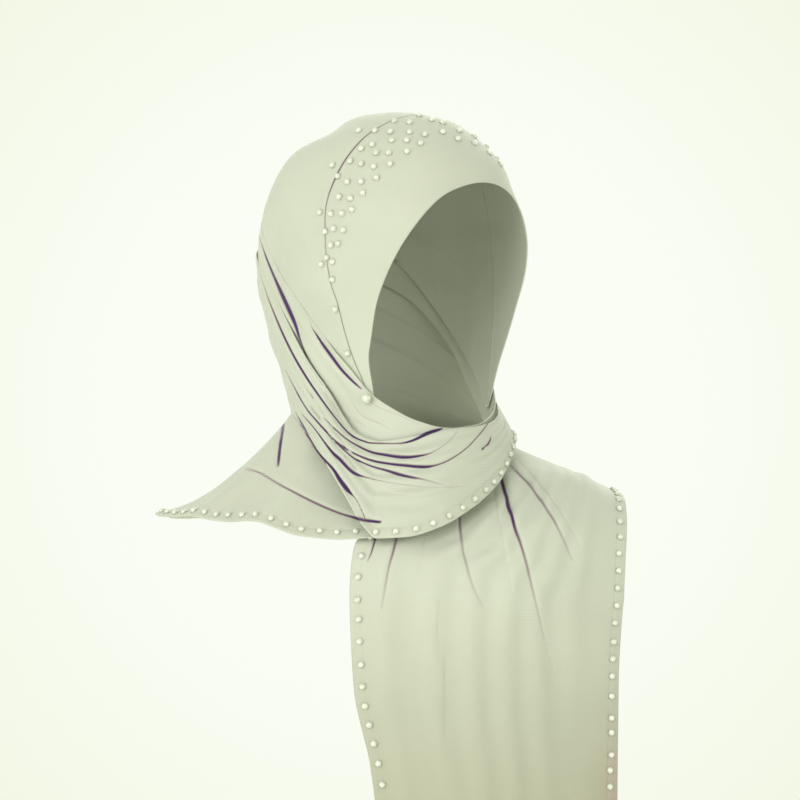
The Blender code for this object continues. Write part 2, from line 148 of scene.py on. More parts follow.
# Cowl: azimuth, upper edge, hem height, hem radius, share of the roll depth
COWL_ROWS = (
    (-180.0, -112.0, -214.0, 70.0, 0.3),
    (-155.0, -150.0, -221.5, 72.0, 0.5),
    (-133.0, -190.0, -234.0, 81.0, 0.8),
    (-124.0, -204.0, -241.0, 90.0, 0.9),
    (-115.0, -221.0, -254.0, 100.0, 1.0),
    (-107.0, -233.0, -270.0, 110.0, 1.0),
    (-100.0, -238.0, -290.0, 118.0, 1.0),
    (-94.0, -239.5, -303.0, 120.0, 1.0),
    (-84.0, -237.5, -302.0, 120.0, 1.0),
    (-72.0, -233.5, -295.0, 118.0, 1.0),
    (-60.0, -230.0, -284.0, 112.0, 0.9),
    (-40.0, -227.0, -266.0, 101.0, 0.8),
    (-20.0, -221.0, -249.0, 93.0, 0.6),
    (0.0, -213.0, -238.0, 91.0, 0.5),
    (30.0, -190.0, -234.0, 93.0, 0.4),
    (60.0, -148.0, -236.0, 95.0, 0.4),
    (90.0, -110.0, -236.0, 96.0, 0.4),
    (132.0, -87.0, -228.0, 87.0, 0.4),
)

# Rolls of the cowl: place from upper edge to hem, half height, how far it stands out
ROLL_ROWS = (
    (0.03, 0.07, 2.4),
    (0.17, 0.07, 3.4),
    (0.28, 0.07, 3.8),
    (0.42, 0.08, 3.6),
    (0.60, 0.10, 3.0),
    (0.78, 0.10, 2.0),
)

# Cape: azimuth, neck radius and height, middle radius and height, hem radius and height
CAPE_ROWS = (
    (18.0, 80.0, -236.0, 118.0, -262.0, 172.0, -284.0),
    (40.0, 80.0, -232.0, 116.0, -264.0, 168.0, -299.0),
    (65.0, 80.0, -228.0, 113.0, -264.0, 148.0, -301.0),
    (90.0, 80.0, -226.0, 112.0, -264.0, 139.0, -302.0),
    (115.0, 79.0, -222.0, 112.0, -266.0, 145.0, -302.0),
    (140.0, 70.5, -216.0, 114.0, -267.0, 160.0, -301.0),
    (160.0, 61.0, -207.0, 116.0, -268.0, 170.0, -297.0),
    (180.0, 56.0, -199.0, 114.0, -267.0, 169.0, -293.0),
    (195.0, 55.5, -202.0, 108.0, -262.0, 150.0, -293.0),
    (210.0, 59.5, -210.0, 103.0, -264.0, 137.0, -294.0),
    (225.0, 67.5, -224.0, 99.0, -268.0, 129.0, -294.0),
    (240.0, 78.0, -252.0, 99.0, -279.0, 122.0, -302.0),
    (252.0, 86.0, -270.0, 101.0, -288.0, 115.0, -304.0),
    (268.0, 95.0, -283.0, 103.0, -292.0, 111.0, -302.0),
)
CAPE_SPLIT = 165.0

# Folds of the cape: azimuth at the neck, azimuth at the hem, width in degrees, depth
CAPE_FOLDS = (
    (30.0, 34.0, 7.0, 2.5),
    (52.0, 55.0, 8.0, 3.5),
    (78.0, 74.0, 8.0, 3.0),
    (102.0, 104.0, 9.0, 3.6),
    (128.0, 124.0, 8.0, 2.8),
    (150.0, 147.0, 7.0, 2.6),
    (186.0, 176.0, 6.0, 2.2),
    (205.0, 198.0, 6.0, 2.6),
    (226.0, 222.0, 6.0, 2.0),
)

# Front panel: left across, depth, height, right across, depth, height, bow forward, bow up
PANEL_ROWS = (
    (76.1, 24.7, -236.0, 163.6, 53.1, -284.0, 0.0, 0.0),
    (81.0, 2.0, -240.0, 169.0, 8.0, -277.0, 0.0, 0.0),
    (77.0, -24.0, -255.0, 169.0, -30.0, -281.0, 2.0, 5.0),
    (62.0, -53.0, -275.0, 168.0, -56.0, -296.0, 6.0, 10.0),
    (36.0, -79.0, -289.0, 166.0, -70.0, -318.0, 12.0, 10.0),
    (6.0, -94.0, -299.0, 164.0, -79.0, -345.0, 16.0, 8.0),
    (-21.3, -104.0, -306.0, 162.0, -84.0, -368.0, 18.0, 6.0),
    (-26.0, -110.0, -342.0, 160.0, -88.0, -396.0, 20.0, 2.0),
    (-23.0, -116.0, -405.0, 159.0, -90.0, -436.0, 18.0, 0.0),
    (-11.0, -119.0, -462.0, 158.5, -91.0, -482.0, 17.0, 0.0),
    (-4.0, -120.0, -530.0, 158.5, -91.0, -540.0, 16.0, 0.0),
    (-1.0, -120.0, -602.0, 159.0, -91.0, -602.0, 16.0, 0.0),
)

# Gathers of the panel: place at the shoulder, place at the hem, start and end down the panel, depth
GATHER_ROWS = (
    (0.14, 0.12, 0.40, 1.00, 3.0),
    (0.34, 0.30, 0.26, 0.92, 4.0),
    (0.46, 0.44, 0.16, 1.00, 4.6),
    (0.56, 0.58, 0.10, 0.95, 5.0),
    (0.65, 0.71, 0.04, 0.88, 4.4),
    (0.75, 0.84, 0.00, 0.75, 3.6),
)
GATHER_CROWDING = 1.5
GATHER_WIDTH = 0.045


class Piece(Enum):
    """The cloth pieces, by the node that each one stands for."""

    BAND = "front_band"
    HOOD = "hood"
    CHIN = "chin_wrap"
    COWL = "neck_wrap"
    SHOULDER = "shoulder_drape"
    BACK = "back_drape"
    PANEL = "front_panel"


class Plane(Enum):
    """How the points of a crease are given: in the viewing plane, or by turn and height."""

    VIEW = "across, height"
    ROUND = "turn, height"


class Side(Enum):
    """Which side of a crease lies over the other, going along the line."""

    LEFT = 1.0
    NONE = 0.0
    RIGHT = -1.0


class Edge(Enum):
    """The four edges of a cloth grid."""

    TOP = "top"
    BOTTOM = "bottom"
    START = "start"
    END = "end"


def unit(vectors: np.ndarray) -> np.ndarray:
    """Vectors of length one along the given ones."""
    return vectors / np.maximum(np.linalg.norm(vectors, axis=-1, keepdims=True), 1e-9)


def smooth_step(low: float, high: float, value: np.ndarray) -> np.ndarray:
    """Rise from 0 at low to 1 at high, level at both ends."""
    share = np.clip((value - low) / (high - low), 0.0, 1.0)
    return share * share * (3.0 - 2.0 * share)


def read_table(rows: tuple, key: np.ndarray, column: int, period: float | None = None) -> np.ndarray:
    """Read one column of a table at many keys, without overshoot between its rows.

    Args:
        rows: Table rows with rising keys in the first column.
        key: Keys to read at.
        column: Column to read.
        period: Length after which the keys come round, or None.

    Returns:
        The smooth values at the keys.
    """
    keys = np.array([row[0] for row in rows], float)
    values = np.array([row[column] for row in rows], float)
    key = np.asarray(key, float)
    if period:
        key = (key - keys[0]) % period + keys[0]
        keys = np.concatenate([[keys[-1] - period], keys, keys[:2] + period])
        values = np.concatenate([values[-1:], values, values[:2]])
    else:
        key = np.clip(key, keys[0], keys[-1])
        keys = np.concatenate([[2 * keys[0] - keys[1]], keys, [2 * keys[-1] - keys[-2]]])
        values = np.concatenate([[2 * values[0] - values[1]], values, [2 * values[-1] - values[-2]]])
    slopes = np.diff(values) / np.diff(keys)
    product = slopes[:-1] * slopes[1:]
    total = np.where(np.abs(slopes[:-1] + slopes[1:]) < 1e-12, 1.0, slopes[:-1] + slopes[1:])
    tangents = np.concatenate([[0.0], np.where(product > 0, 2 * product / total, 0.0), [0.0]])
    index = np.clip(np.searchsorted(keys, key, side="left") - 1, 1, len(keys) - 3)
    span = keys[index + 1] - keys[index]
    share = (key - keys[index]) / span
    s2, s3 = share ** 2, share ** 3
    start = (2 * s3 - 3 * s2 + 1) * values[index] + (s3 - 2 * s2 + share) * span * tangents[index]
    end = (3 * s2 - 2 * s3) * values[index + 1] + (s3 - s2) * span * tangents[index + 1]
    return start + end


def smooth_line(points: np.ndarray, shares: np.ndarray, measured: int = 3, fine: int = 24) -> np.ndarray:
    """Points along a smooth curve through some points.

    Args:
        points: Rows of numbers that the curve passes through.
        shares: Shares of the curve's length to read at.
        measured: How many columns count as place for the length.
        fine: Steps between neighbouring points.

    Returns:
        One row for each share.
    """
    rows = np.asarray(points, float)
    last = len(rows) - 1
    index = np.arange(last)
    a, b = rows[np.maximum(index - 1, 0)][:, None], rows[index][:, None]
    c, d = rows[index + 1][:, None], rows[np.minimum(index + 2, last)][:, None]
    t = (np.arange(fine) / fine)[None, :, None]
    bend, twist = 2 * a - 5 * b + 4 * c - d, 3 * b - a - 3 * c + d
    curve = 0.5 * (2 * b + (c - a) * t + bend * t ** 2 + twist * t ** 3)
    curve = np.vstack([curve.reshape(-1, rows.shape[1]), rows[-1:]])
    steps = np.linalg.norm(np.diff(curve[:, :measured], axis=0), axis=1)
    along = np.concatenate([[0.0], np.cumsum(steps)])
    return np.stack([np.interp(shares * along[-1], along, column) for column in curve.T], axis=1)


def soft_noise(across: np.ndarray, along: np.ndarray, seed: int) -> np.ndarray:
    """Smooth noise between -1 and 1 on a seeded lattice with cells of size one."""
    lattice = np.random.default_rng(seed).uniform(-1.0, 1.0, (61, 67))
    i, j = np.floor(across).astype(int), np.floor(along).astype(int)
    s, t = smooth_step(0.0, 1.0, across - i), smooth_step(0.0, 1.0, along - j)
    near = lattice[i % 61, j % 67] * (1 - s) + lattice[(i + 1) % 61, j % 67] * s
    far = lattice[i % 61, (j + 1) % 67] * (1 - s) + lattice[(i + 1) % 61, (j + 1) % 67] * s
    return near * (1 - t) + far * t


def polar(azimuth: np.ndarray, radius: np.ndarray, height: np.ndarray) -> np.ndarray:
    """Points at some azimuths, radii and heights."""
    angle = np.radians(azimuth)
    parts = np.broadcast_arrays(radius * np.cos(angle), radius * np.sin(angle), height)
    return np.stack(parts, axis=-1)


def circle(radius: float, height: float, count: int, shift: float = 0.0) -> np.ndarray:
    """Evenly spaced points of a level circle, started some steps round."""
    angle = 2 * math.pi * (np.arange(count) + shift) / count
    return np.stack([radius * np.cos(angle), radius * np.sin(angle), 0 * angle + height], axis=1)


def azimuth_of(points: np.ndarray) -> np.ndarray:
    """Azimuth of each point, in degrees."""
    return np.degrees(np.arctan2(points[..., 1], points[..., 0]))


def in_view(points: np.ndarray) -> np.ndarray:
    """Across and height of points as they stand in the viewing plane through the crown."""
    away = points - VIEW_POINT
    scale = -VIEW_POINT[1] / away[..., 1]
    return np.stack([VIEW_POINT[0] + away[..., 0] * scale, VIEW_POINT[2] + away[..., 2] * scale], axis=-1)


def grid_normals(grid: np.ndarray, ring: bool) -> np.ndarray:
    """Outward direction at each point of a grid, from its neighbours."""
    if ring:
        across = np.roll(grid, -1, axis=1) - np.roll(grid, 1, axis=1)
    else:
        padded = np.concatenate([grid[:, :1], grid, grid[:, -1:]], axis=1)
        across = padded[:, 2:] - padded[:, :-2]
    padded = np.concatenate([grid[:1], grid, grid[-1:]], axis=0)
    down = padded[:-2] - padded[2:]
    normals = unit(np.cross(across, down))
    middle = (grid.shape[0] // 2, grid.shape[1] // 2)
    outward = grid[middle] * (1.0, 1.0, 0.0)
    return -normals if float(normals[middle] @ outward) < 0 else normals


def arc_lengths(grid: np.ndarray, axis: int) -> np.ndarray:
    """Length from the first row or column of a grid to each of its points."""
    steps = np.linalg.norm(np.diff(grid, axis=axis), axis=-1)
    start = np.zeros_like(np.take(steps, [0], axis=axis))
    return np.concatenate([start, np.cumsum(steps, axis=axis)], axis=axis)


class PlainForm:
    """The plain form that the wraps lie on."""

    def __init__(self) -> None:
        """Keep the section sizes squared and by rising height."""
        rows = [(row[0], row[1] ** 2, row[2] ** 2, row[3] ** 2, row[4]) for row in FORM_ROWS]
        self.rows = tuple(sorted(rows))

    def sizes(self, height: np.ndarray) -> tuple:
        """Half width, front depth and back depth at some heights."""
        return tuple(np.sqrt(np.maximum(read_table(self.rows, height, i), 1.0)) for i in (1, 2, 3))

    def radius(self, azimuth: np.ndarray, height: np.ndarray) -> np.ndarray:
        """Radius of the form at some azimuths and heights."""
        half, front, back = self.sizes(height)
        angle = np.radians(azimuth + 90.0 - read_table(self.rows, height, 4))
        depth = np.where(np.cos(angle) > 0, front, back)
        radius = 1.0 / np.sqrt((np.cos(angle) / depth) ** 2 + (np.sin(angle) / half) ** 2)
        for middle, level, spread, tall, deep in DENT_ROWS:
            away = ((azimuth - middle + 180.0) % 360.0 - 180.0) / spread
            pressed = deep * np.exp(-away ** 2 - ((height - level) / tall) ** 2)
            radius = radius - pressed * np.minimum(1.0, -np.asarray(height) / 8.0)
        return np.where(np.asarray(height) >= 0.0, 0.0, np.maximum(radius, 0.0))

    def point(self, azimuth: np.ndarray, height: np.ndarray) -> np.ndarray:
        """Points on the form at some azimuths and heights."""
        return polar(azimuth, self.radius(azimuth, height), height)

    def normal(self, points: np.ndarray) -> np.ndarray:
        """Outward direction of the form at points on it."""
        azimuth, height = azimuth_of(points), np.minimum(points[..., 2], -1.0)
        sideways = self.point(azimuth + 1.5, height) - self.point(azimuth - 1.5, height)
        upwards = self.point(azimuth, np.minimum(height + 1.5, 0.0)) - self.point(azimuth, height - 1.5)
        return unit(np.cross(sideways, upwards))

    def cast(self, directions: np.ndarray) -> np.ndarray:
        """Points where lines from the middle of the hood meet the form."""
        azimuth = azimuth_of(directions)
        level = np.hypot(directions[..., 0], directions[..., 1])
        near, far = np.zeros_like(level), np.full_like(level, CAST_REACH)
        for _ in range(30):
            middle = 0.5 * (near + far)
            height = CAST_HEIGHT + middle * directions[..., 2]
            inside = (height < 0.0) & (middle * level < self.radius(azimuth, height))
            near, far = np.where(inside, middle, near), np.where(inside, far, middle)
        return CAST_FROM + directions * near[..., None]

    def head_arc(self, rows: tuple, top: tuple, shares: np.ndarray, shift: float = 0.0) -> np.ndarray:
        """Directions along an arc from the near side over the crown to the far side.

        Args:
            rows: Height and forward place of points on one side.
            top: Height and forward place of the highest point.
            shares: Shares of the arc to read at.
            shift: How far the arc is moved forward.

        Returns:
            Unit directions from the middle of the hood.
        """
        turn = math.radians(HEAD_TURN)
        across = np.array((math.cos(turn), math.sin(turn), 0.0))
        forward = np.array((math.sin(turn), -math.cos(turn), 0.0))
        height, ahead = np.array(rows, float).T
        half, front, _ = self.sizes(height)
        side = half * np.sqrt(np.maximum(1.0 - (ahead / front) ** 2, 0.0))
        level = forward * (ahead + shift)[:, None] + np.stack([0 * height, 0 * height, height], axis=1)
        near, far = level - across * side[:, None], level + across * side[:, None]
        crest = forward * (top[1] + shift) + np.array((0.0, 0.0, top[0]))
        points = smooth_line(np.vstack([near, crest[None], far[::-1]]), shares)
        return unit(points - CAST_FROM)


FORM = PlainForm()


def slerp(start: np.ndarray, end: np.ndarray, share: np.ndarray) -> np.ndarray:
    """Directions part of the way round from some directions to others."""
    angle = np.arccos(np.clip(np.sum(start * end, axis=-1, keepdims=True), -1.0, 1.0))
    angle = np.maximum(angle, 1e-6)
    return unit(np.sin((1.0 - share) * angle) * start + np.sin(share * angle) * end)


def ring_azimuths(fine: float, coarse: float) -> np.ndarray:
    """Azimuths round a ring, close together where the front and the near side are seen."""
    return np.concatenate([np.arange(-197.0, -5.0, fine), np.arange(-5.0, 163.0 - coarse / 2, coarse)])


@dataclass(frozen=True)
class Crease:
    """One crease: where it runs, and how the cloth rolls over it."""

    name: str
    pieces: tuple[Piece, ...]
    points: tuple[tuple[float, float, float], ...]
    over: Side = Side.LEFT
    plane: Plane = Plane.VIEW
    lift: float = 1.5
    sink: float = 1.1
    reach: float = 6.0
    # Strength of the shade painted into the cloth's colour along the crease
    shade: float = 1.0
    finest: float = 0.5

    def place(self, points: np.ndarray) -> np.ndarray:
        """Flat coordinates of points in the crease's own plane."""
        if self.plane is Plane.VIEW:
            return in_view(points)
        turn = (azimuth_of(points) + 90.0) % 360.0
        return np.stack([np.radians(turn) * 100.0, points[..., 2]], axis=-1)

    def line(self) -> np.ndarray:
        """Closely spaced points of the crease with its strength at each."""
        rows = np.array(self.points, float)
        if self.plane is Plane.ROUND:
            rows[:, 0] = np.radians(rows[:, 0]) * 100.0
        length = np.sum(np.linalg.norm(np.diff(rows[:, :2], axis=0), axis=1))
        return smooth_line(rows, np.linspace(0.0, 1.0, max(int(length / 2.5), 3) + 1), measured=2)

    def read(self, points: np.ndarray) -> tuple[np.ndarray, np.ndarray]:
        """How far the crease moves points outward, and how much shade it paints into their colour.

        Args:
            points: Points of a cloth surface, any grid shape.

        Returns:
            The outward move in millimetres and the painted shade from 0 to 1.
        """
        place, line = self.place(points), self.line()
        offset, shade = np.zeros(points.shape[:-1]), np.zeros(points.shape[:-1])
        margin = 3.0 * self.reach
        low, high = line[:, :2].min(0) - margin, line[:, :2].max(0) + margin
        near = np.all((place > low) & (place < high), axis=-1)
        if not near.any():
            return offset, shade
        spots = place[near]
        start, end = line[:-1], line[1:]
        step = end[:, :2] - start[:, :2]
        away = spots[:, None, :] - start[None, :, :2]
        along = np.clip(np.sum(away * step, axis=-1) / np.sum(step ** 2, axis=-1), 0.0, 1.0)
        gap = away - along[..., None] * step
        distance = np.linalg.norm(gap, axis=-1)
        best = np.argmin(distance, axis=1)
        pick = (np.arange(len(spots)), best)
        gap, share, distance = gap[pick], along[pick], distance[pick]
        strength = start[best, 2] * (1 - share) + end[best, 2] * share
        side = np.sign(step[best, 0] * gap[:, 1] - step[best, 1] * gap[:, 0])
        ends = ((best == 0) & (share <= 0.0)) | ((best == len(start) - 1) & (share >= 1.0))
        fade = np.where(ends, np.exp(-(distance / 1.5) ** 2), 1.0)
        amount = np.clip(strength / 2.5, 0.0, 1.3) ** 0.7 * fade
        if self.over is Side.NONE:
            move = -self.sink * amount * np.exp(-(distance / (0.45 * self.reach)) ** 2)
            dark = distance
        else:
            over = side * distance * self.over.value
            above, below = np.maximum(over, 0.0), np.maximum(-over, 0.0)
            wall = np.exp(-above / (1.6 * self.finest))
            roll = self.lift * (1.0 - wall) * np.exp(-(above / self.reach) ** 1.6) - self.sink * wall
            sunk = -self.sink * np.exp(-below / (0.6 * self.reach))
            move = amount * np.where(over > 0.0, roll, sunk)
            dark = np.abs(over + 0.22 * strength)
        half = np.maximum(self.finest, 0.32 + 0.30 * strength)
        offset[near] = move
        depth = self.shade * np.clip(0.10 + 0.62 * strength, 0.0, 1.0)
        shade[near] = depth * np.exp(-(dark / half) ** 2.2) * fade
        return offset, shade


WRAPS = (Piece.CHIN, Piece.HOOD)
COWL = (Piece.COWL,)
PANEL = (Piece.PANEL,)
SHOULDER = (Piece.SHOULDER,)

# Points: across, height, strength in the viewing plane; or turn, height, strength round the neck
CREASES = (
    Crease("side_deep", WRAPS, (
        (-96.4, -85.4, 0.3), (-93.4, -94.2, 0.6), (-90.9, -102.2, 1.2), (-87.6, -111.7, 2.2),
        (-81.0, -127.8, 3.2), (-73.9, -143.1, 3.8), (-69.3, -154.0, 3.0), (-65.7, -164.2, 1.6),
        (-60.6, -178.1, 0.9), (-53.3, -194.9, 0.7), (-42.3, -212.4, 0.4)),
        over=Side.NONE, sink=1.6, reach=6.0),
    Crease("pin_deep", WRAPS, (
        (-58.5, -149.0, 0.2), (-56.9, -154.8, 0.5), (-53.3, -160.6, 1.2), (-49.3, -167.0, 2.0),
        (-42.2, -177.2, 2.8), (-35.0, -186.4, 2.4), (-26.8, -194.6, 1.7), (-20.4, -200.0, 0.8)),
        over=Side.NONE, sink=1.3, reach=5.0),
    Crease("cowl_top", (Piece.CHIN, Piece.COWL), (
        (-96.0, -107.3, 0.1), (-92.3, -121.9, 0.4), (-86.9, -138.0, 0.8), (-78.1, -159.9, 1.3),
        (-70.1, -175.9, 1.4), (-62.8, -188.3, 1.4), (-54.4, -200.8, 1.2), (-43.1, -216.1, 1.2),
        (-28.8, -232.9, 1.3), (-17.5, -238.7, 1.2), (-10.2, -239.8, 1.0), (8.0, -239.7, 1.0),
        (17.9, -237.6, 2.0), (27.7, -233.2, 3.2), (35.0, -230.7, 2.6), (39.4, -228.9, 0.6)),
        over=Side.RIGHT, lift=0.5, sink=0.8, reach=4.0),
    Crease("cowl_second", COWL, (
        (-47.4, -221.2, 0.5), (-39.1, -229.2, 0.9), (-30.7, -236.5, 1.0), (-14.6, -244.9, 1.4),
        (-2.2, -247.5, 2.0), (9.5, -249.1, 2.6), (19.7, -248.7, 1.6), (31.4, -246.0, 0.6),
        (42.3, -239.1, 0.4), (50.4, -230.3, 0.3)), reach=4.5),
    Crease("cowl_long", COWL, (
        (-75.9, -186.2, 0.4), (-69.7, -197.8, 1.0), (-61.7, -212.1, 1.2), (-53.3, -222.3, 1.2),
        (-45.3, -231.4, 1.2), (-35.8, -240.5, 1.2), (-23.4, -247.8, 1.2), (-10.6, -252.2, 1.4),
        (0.4, -254.0, 1.6), (10.9, -255.1, 2.2), (23.0, -256.2, 2.2), (32.9, -255.5, 1.0),
        (43.8, -251.6, 0.8), (56.2, -243.3, 0.8), (67.2, -231.4, 0.8), (72.3, -224.0, 0.8),
        (72.3, -216.4, 0.6)), reach=5.0),
    Crease("cowl_fourth", COWL, (
        (-43.1, -234.3, 0.4), (-35.8, -241.6, 1.0), (-25.6, -250.0, 1.1), (-14.8, -255.1, 1.2),
        (-2.2, -258.9, 1.5), (8.0, -261.7, 2.0), (17.9, -264.3, 1.4), (24.8, -265.7, 0.8),
        (39.4, -269.7, 0.4), (46.4, -272.1, 0.3)), reach=5.0),
    Crease("cowl_low", COWL, (
        (-63.7, -218.3, 0.6), (-55.5, -227.4, 1.0), (-42.3, -244.5, 1.5), (-35.8, -250.4, 3.0),
        (-27.4, -259.1, 2.4), (-19.0, -263.5, 1.0), (-2.2, -267.5, 0.5), (14.6, -270.1, 0.4),
        (39.4, -271.8, 0.3), (56.2, -270.8, 0.2)), reach=6.0),
    Crease("cowl_soft", COWL, (
        (-14.8, -266.7, 0.3), (-2.2, -274.3, 0.5), (14.6, -277.6, 0.6), (28.0, -278.1, 0.5),
        (39.6, -275.1, 0.4), (47.2, -273.0, 0.3)), reach=6.0, shade=0.5),
    Crease("cowl_shadow", COWL, (
        (-15.3, -279.6, 0.3), (-8.0, -281.8, 0.7), (6.1, -284.3, 1.0), (22.9, -286.0, 1.0),
        (36.3, -286.5, 0.5)), over=Side.NONE, reach=9.0, shade=0.0),
    Crease("cowl_nick", COWL, (
        (74.5, -235.1, 0.8), (73.4, -239.4, 1.3), (69.7, -242.4, 0.6), (68.3, -243.8, 1.2)),
        over=Side.NONE),
    Crease("drape_tuck", (Piece.SHOULDER, Piece.COWL), (
        (-68.6, -216.8, 0.6), (-62.8, -227.4, 1.2), (-52.6, -244.5, 1.2), (-40.9, -257.7, 1.8),
        (-35.8, -265.0, 3.2), (-29.9, -272.7, 3.4), (-27.0, -276.7, 1.0), (-23.4, -281.1, 0.7),
        (-19.0, -290.2, 0.7), (-17.3, -294.8, 0.6)), lift=0.6),
    Crease("drape_tier", (Piece.SHOULDER, Piece.COWL), (
        (-104.4, -258.4, 0.4), (-94.2, -261.3, 0.6), (-78.8, -270.1, 0.7), (-56.9, -281.1, 0.8),
        (-37.2, -289.8, 0.8), (-26.6, -293.1, 1.0), (-16.5, -295.2, 2.0), (-6.4, -296.7, 1.2)),
        reach=8.0, finest=1.0),
    Crease("drape_upright", SHOULDER, (
        (-77.4, -219.9, 0.6), (-78.5, -228.5, 2.0), (-79.9, -240.9, 2.4), (-81.0, -256.2, 0.8)),
        over=Side.NONE, finest=1.0),
    Crease("chin_wrinkle", (Piece.CHIN,), (
        (-28.5, -206.6, 0.3), (-24.8, -213.2, 0.5), (-18.6, -220.2, 0.6), (-6.3, -225.4, 0.6),
        (3.9, -231.5, 0.4)), lift=0.8, sink=0.5, shade=0.6),
    Crease("chin_wrinkle_low", (Piece.CHIN,), (
        (-35.8, -217.5, 0.3), (-27.0, -221.9, 0.4), (-16.8, -227.8, 0.5), (-6.6, -232.1, 0.3)),
        lift=0.8, sink=0.5, shade=0.5),
    Crease("chin_hem", (Piece.CHIN,), (
        (-16.6, -207.3, 0.5), (-6.3, -214.0, 0.5), (8.0, -219.4, 0.4), (22.6, -226.3, 0.3)),
        over=Side.NONE, sink=0.3, reach=2.5, shade=0.7),
    Crease("edge_line", (Piece.BAND, Piece.CHIN), (
        (-13.5, -179.6, 0.3), (-13.1, -187.6, 0.9), (-10.9, -196.4, 1.2), (-7.3, -202.9, 0.9),
        (-2.2, -208.0, 0.4)), over=Side.NONE, sink=0.4, reach=2.5),
    Crease("panel_main", PANEL, (
        (81.4, -262.1, 0.8), (82.5, -266.1, 1.8), (84.9, -274.3, 2.6), (87.8, -283.5, 3.4),
        (89.1, -289.4, 2.0), (92.7, -302.9, 1.0), (98.5, -320.5, 0.7), (105.8, -350.4, 0.4),
        (114.6, -386.2, 0.2), (121.9, -413.2, 0.1)), lift=2.6, sink=1.8, reach=9.0, finest=1.15),
    Crease("panel_right", PANEL, (
        (88.3, -254.8, 0.6), (95.6, -262.5, 0.8), (102.9, -270.1, 0.8), (114.6, -286.2, 0.8),
        (124.8, -304.4, 0.6), (133.6, -324.8, 0.3)), lift=2.2, reach=8.0, shade=0.8, finest=1.15),
    Crease("panel_outer", PANEL, (
        (93.4, -250.4, 0.3), (105.8, -265.0, 0.5), (121.9, -284.7, 0.5), (139.4, -313.9, 0.3)),
        lift=2.0, reach=8.0, shade=0.5, finest=1.15),
    Crease("panel_middle", PANEL, (
        (51.4, -291.1, 0.9), (51.4, -298.6, 1.0), (53.1, -312.8, 0.7), (55.5, -324.8, 0.6),
        (61.3, -344.6, 0.4), (68.6, -359.2, 0.2)),
        over=Side.RIGHT, lift=2.2, sink=1.4, reach=9.0, shade=0.8, finest=1.15),
    Crease("panel_inner", PANEL, (
        (75.2, -259.1, 0.4), (78.1, -281.1, 0.6), (83.2, -310.2, 0.5), (89.8, -346.8, 0.3)),
        lift=2.0, reach=8.0, shade=0.4, finest=1.15),
    Crease("panel_third", PANEL, (
        (27.0, -300.8, 0.4), (25.6, -313.9, 0.4), (22.6, -332.1, 0.3)),
        over=Side.RIGHT, reach=8.0, shade=0.4, finest=1.15),
    Crease("panel_left", PANEL, (
        (5.5, -307.0, 1.0), (2.9, -318.7, 0.9), (-0.7, -332.1, 0.6), (-5.8, -362.1, 0.3)),
        over=Side.RIGHT, lift=2.2, sink=1.4, reach=8.0, shade=0.8, finest=1.15),
    Crease("panel_corner", PANEL, (
        (-10.2, -308.6, 1.2), (-13.1, -319.5, 0.9), (-16.1, -326.3, 0.4)), over=Side.RIGHT, reach=5.0),
    Crease("panel_low", PANEL, (
        (37.2, -353.3, 0.3), (35.8, -386.2, 0.5), (40.9, -400.8, 0.4), (40.1, -460.6, 0.3)),
        over=Side.RIGHT, lift=2.2, reach=12.0, shade=0.25, finest=1.15),
    Crease("wrap_behind_high", WRAPS, (
        (284.0, -84.0, 0.5), (262.0, -72.0, 1.2), (236.0, -66.0, 1.6), (205.0, -68.0, 1.2),
        (176.0, -80.0, 1.6), (150.0, -100.0, 1.0), (128.0, -128.0, 0.5)),
        over=Side.NONE, plane=Plane.ROUND, finest=1.4, shade=0.5, reach=7.0),
    Crease("wrap_behind_low", (Piece.CHIN,), (
        (272.0, -102.0, 0.4), (246.0, -86.0, 1.3), (222.0, -80.0, 1.0), (196.0, -84.0, 1.5),
        (168.0, -99.0, 1.0), (146.0, -124.0, 1.4), (122.0, -158.0, 0.6)),
        over=Side.RIGHT, plane=Plane.ROUND, finest=1.4, shade=0.5, reach=6.0),
    Crease("cowl_behind_1", COWL, (
        (276.0, -128.0, 0.6), (254.0, -108.0, 1.4), (230.0, -100.0, 1.8), (204.0, -108.0, 1.2),
        (178.0, -126.0, 1.6), (150.0, -152.0, 1.1), (120.0, -196.0, 1.3), (92.0, -222.0, 0.6)),
        over=Side.RIGHT, plane=Plane.ROUND, finest=1.4, shade=0.5, reach=7.0),
    Crease("cowl_behind_2", COWL, (
        (272.0, -150.0, 0.5), (248.0, -130.0, 1.6), (222.0, -122.0, 1.1), (196.0, -132.0, 1.8),
        (170.0, -152.0, 1.2), (142.0, -180.0, 1.7), (114.0, -214.0, 0.7)),
        over=Side.RIGHT, plane=Plane.ROUND, finest=1.4, shade=0.5, reach=8.0),
    Crease("cowl_behind_3", COWL, (
        (262.0, -176.0, 0.5), (240.0, -156.0, 1.5), (214.0, -150.0, 1.0), (186.0, -164.0, 1.7),
        (158.0, -188.0, 1.0), (130.0, -214.0, 0.5)),
        over=Side.RIGHT, plane=Plane.ROUND, finest=1.4, shade=0.5, reach=9.0),
    Crease("cowl_behind_4", COWL, (
        (252.0, -204.0, 0.4), (226.0, -190.0, 1.3), (198.0, -192.0, 0.9), (170.0, -206.0, 1.4),
        (144.0, -222.0, 0.4)), over=Side.RIGHT, plane=Plane.ROUND, finest=1.4, shade=0.5, reach=9.0),
    Crease("cowl_far_side", COWL, (
        (98.0, -228.0, 0.5), (78.0, -236.0, 1.2), (60.0, -246.0, 1.0), (44.0, -258.0, 0.4)),
        over=Side.RIGHT, plane=Plane.ROUND, finest=1.4, shade=0.5, reach=6.0),
    Crease("back_fold_1", (Piece.BACK,), (
        (206.0, -240.0, 0.6), (203.0, -262.0, 1.4), (198.0, -284.0, 0.8), (196.0, -300.0, 0.3)),
        over=Side.RIGHT, plane=Plane.ROUND, finest=1.6, reach=8.0, shade=0.5),
    Crease("back_fold_2", (Piece.BACK,), (
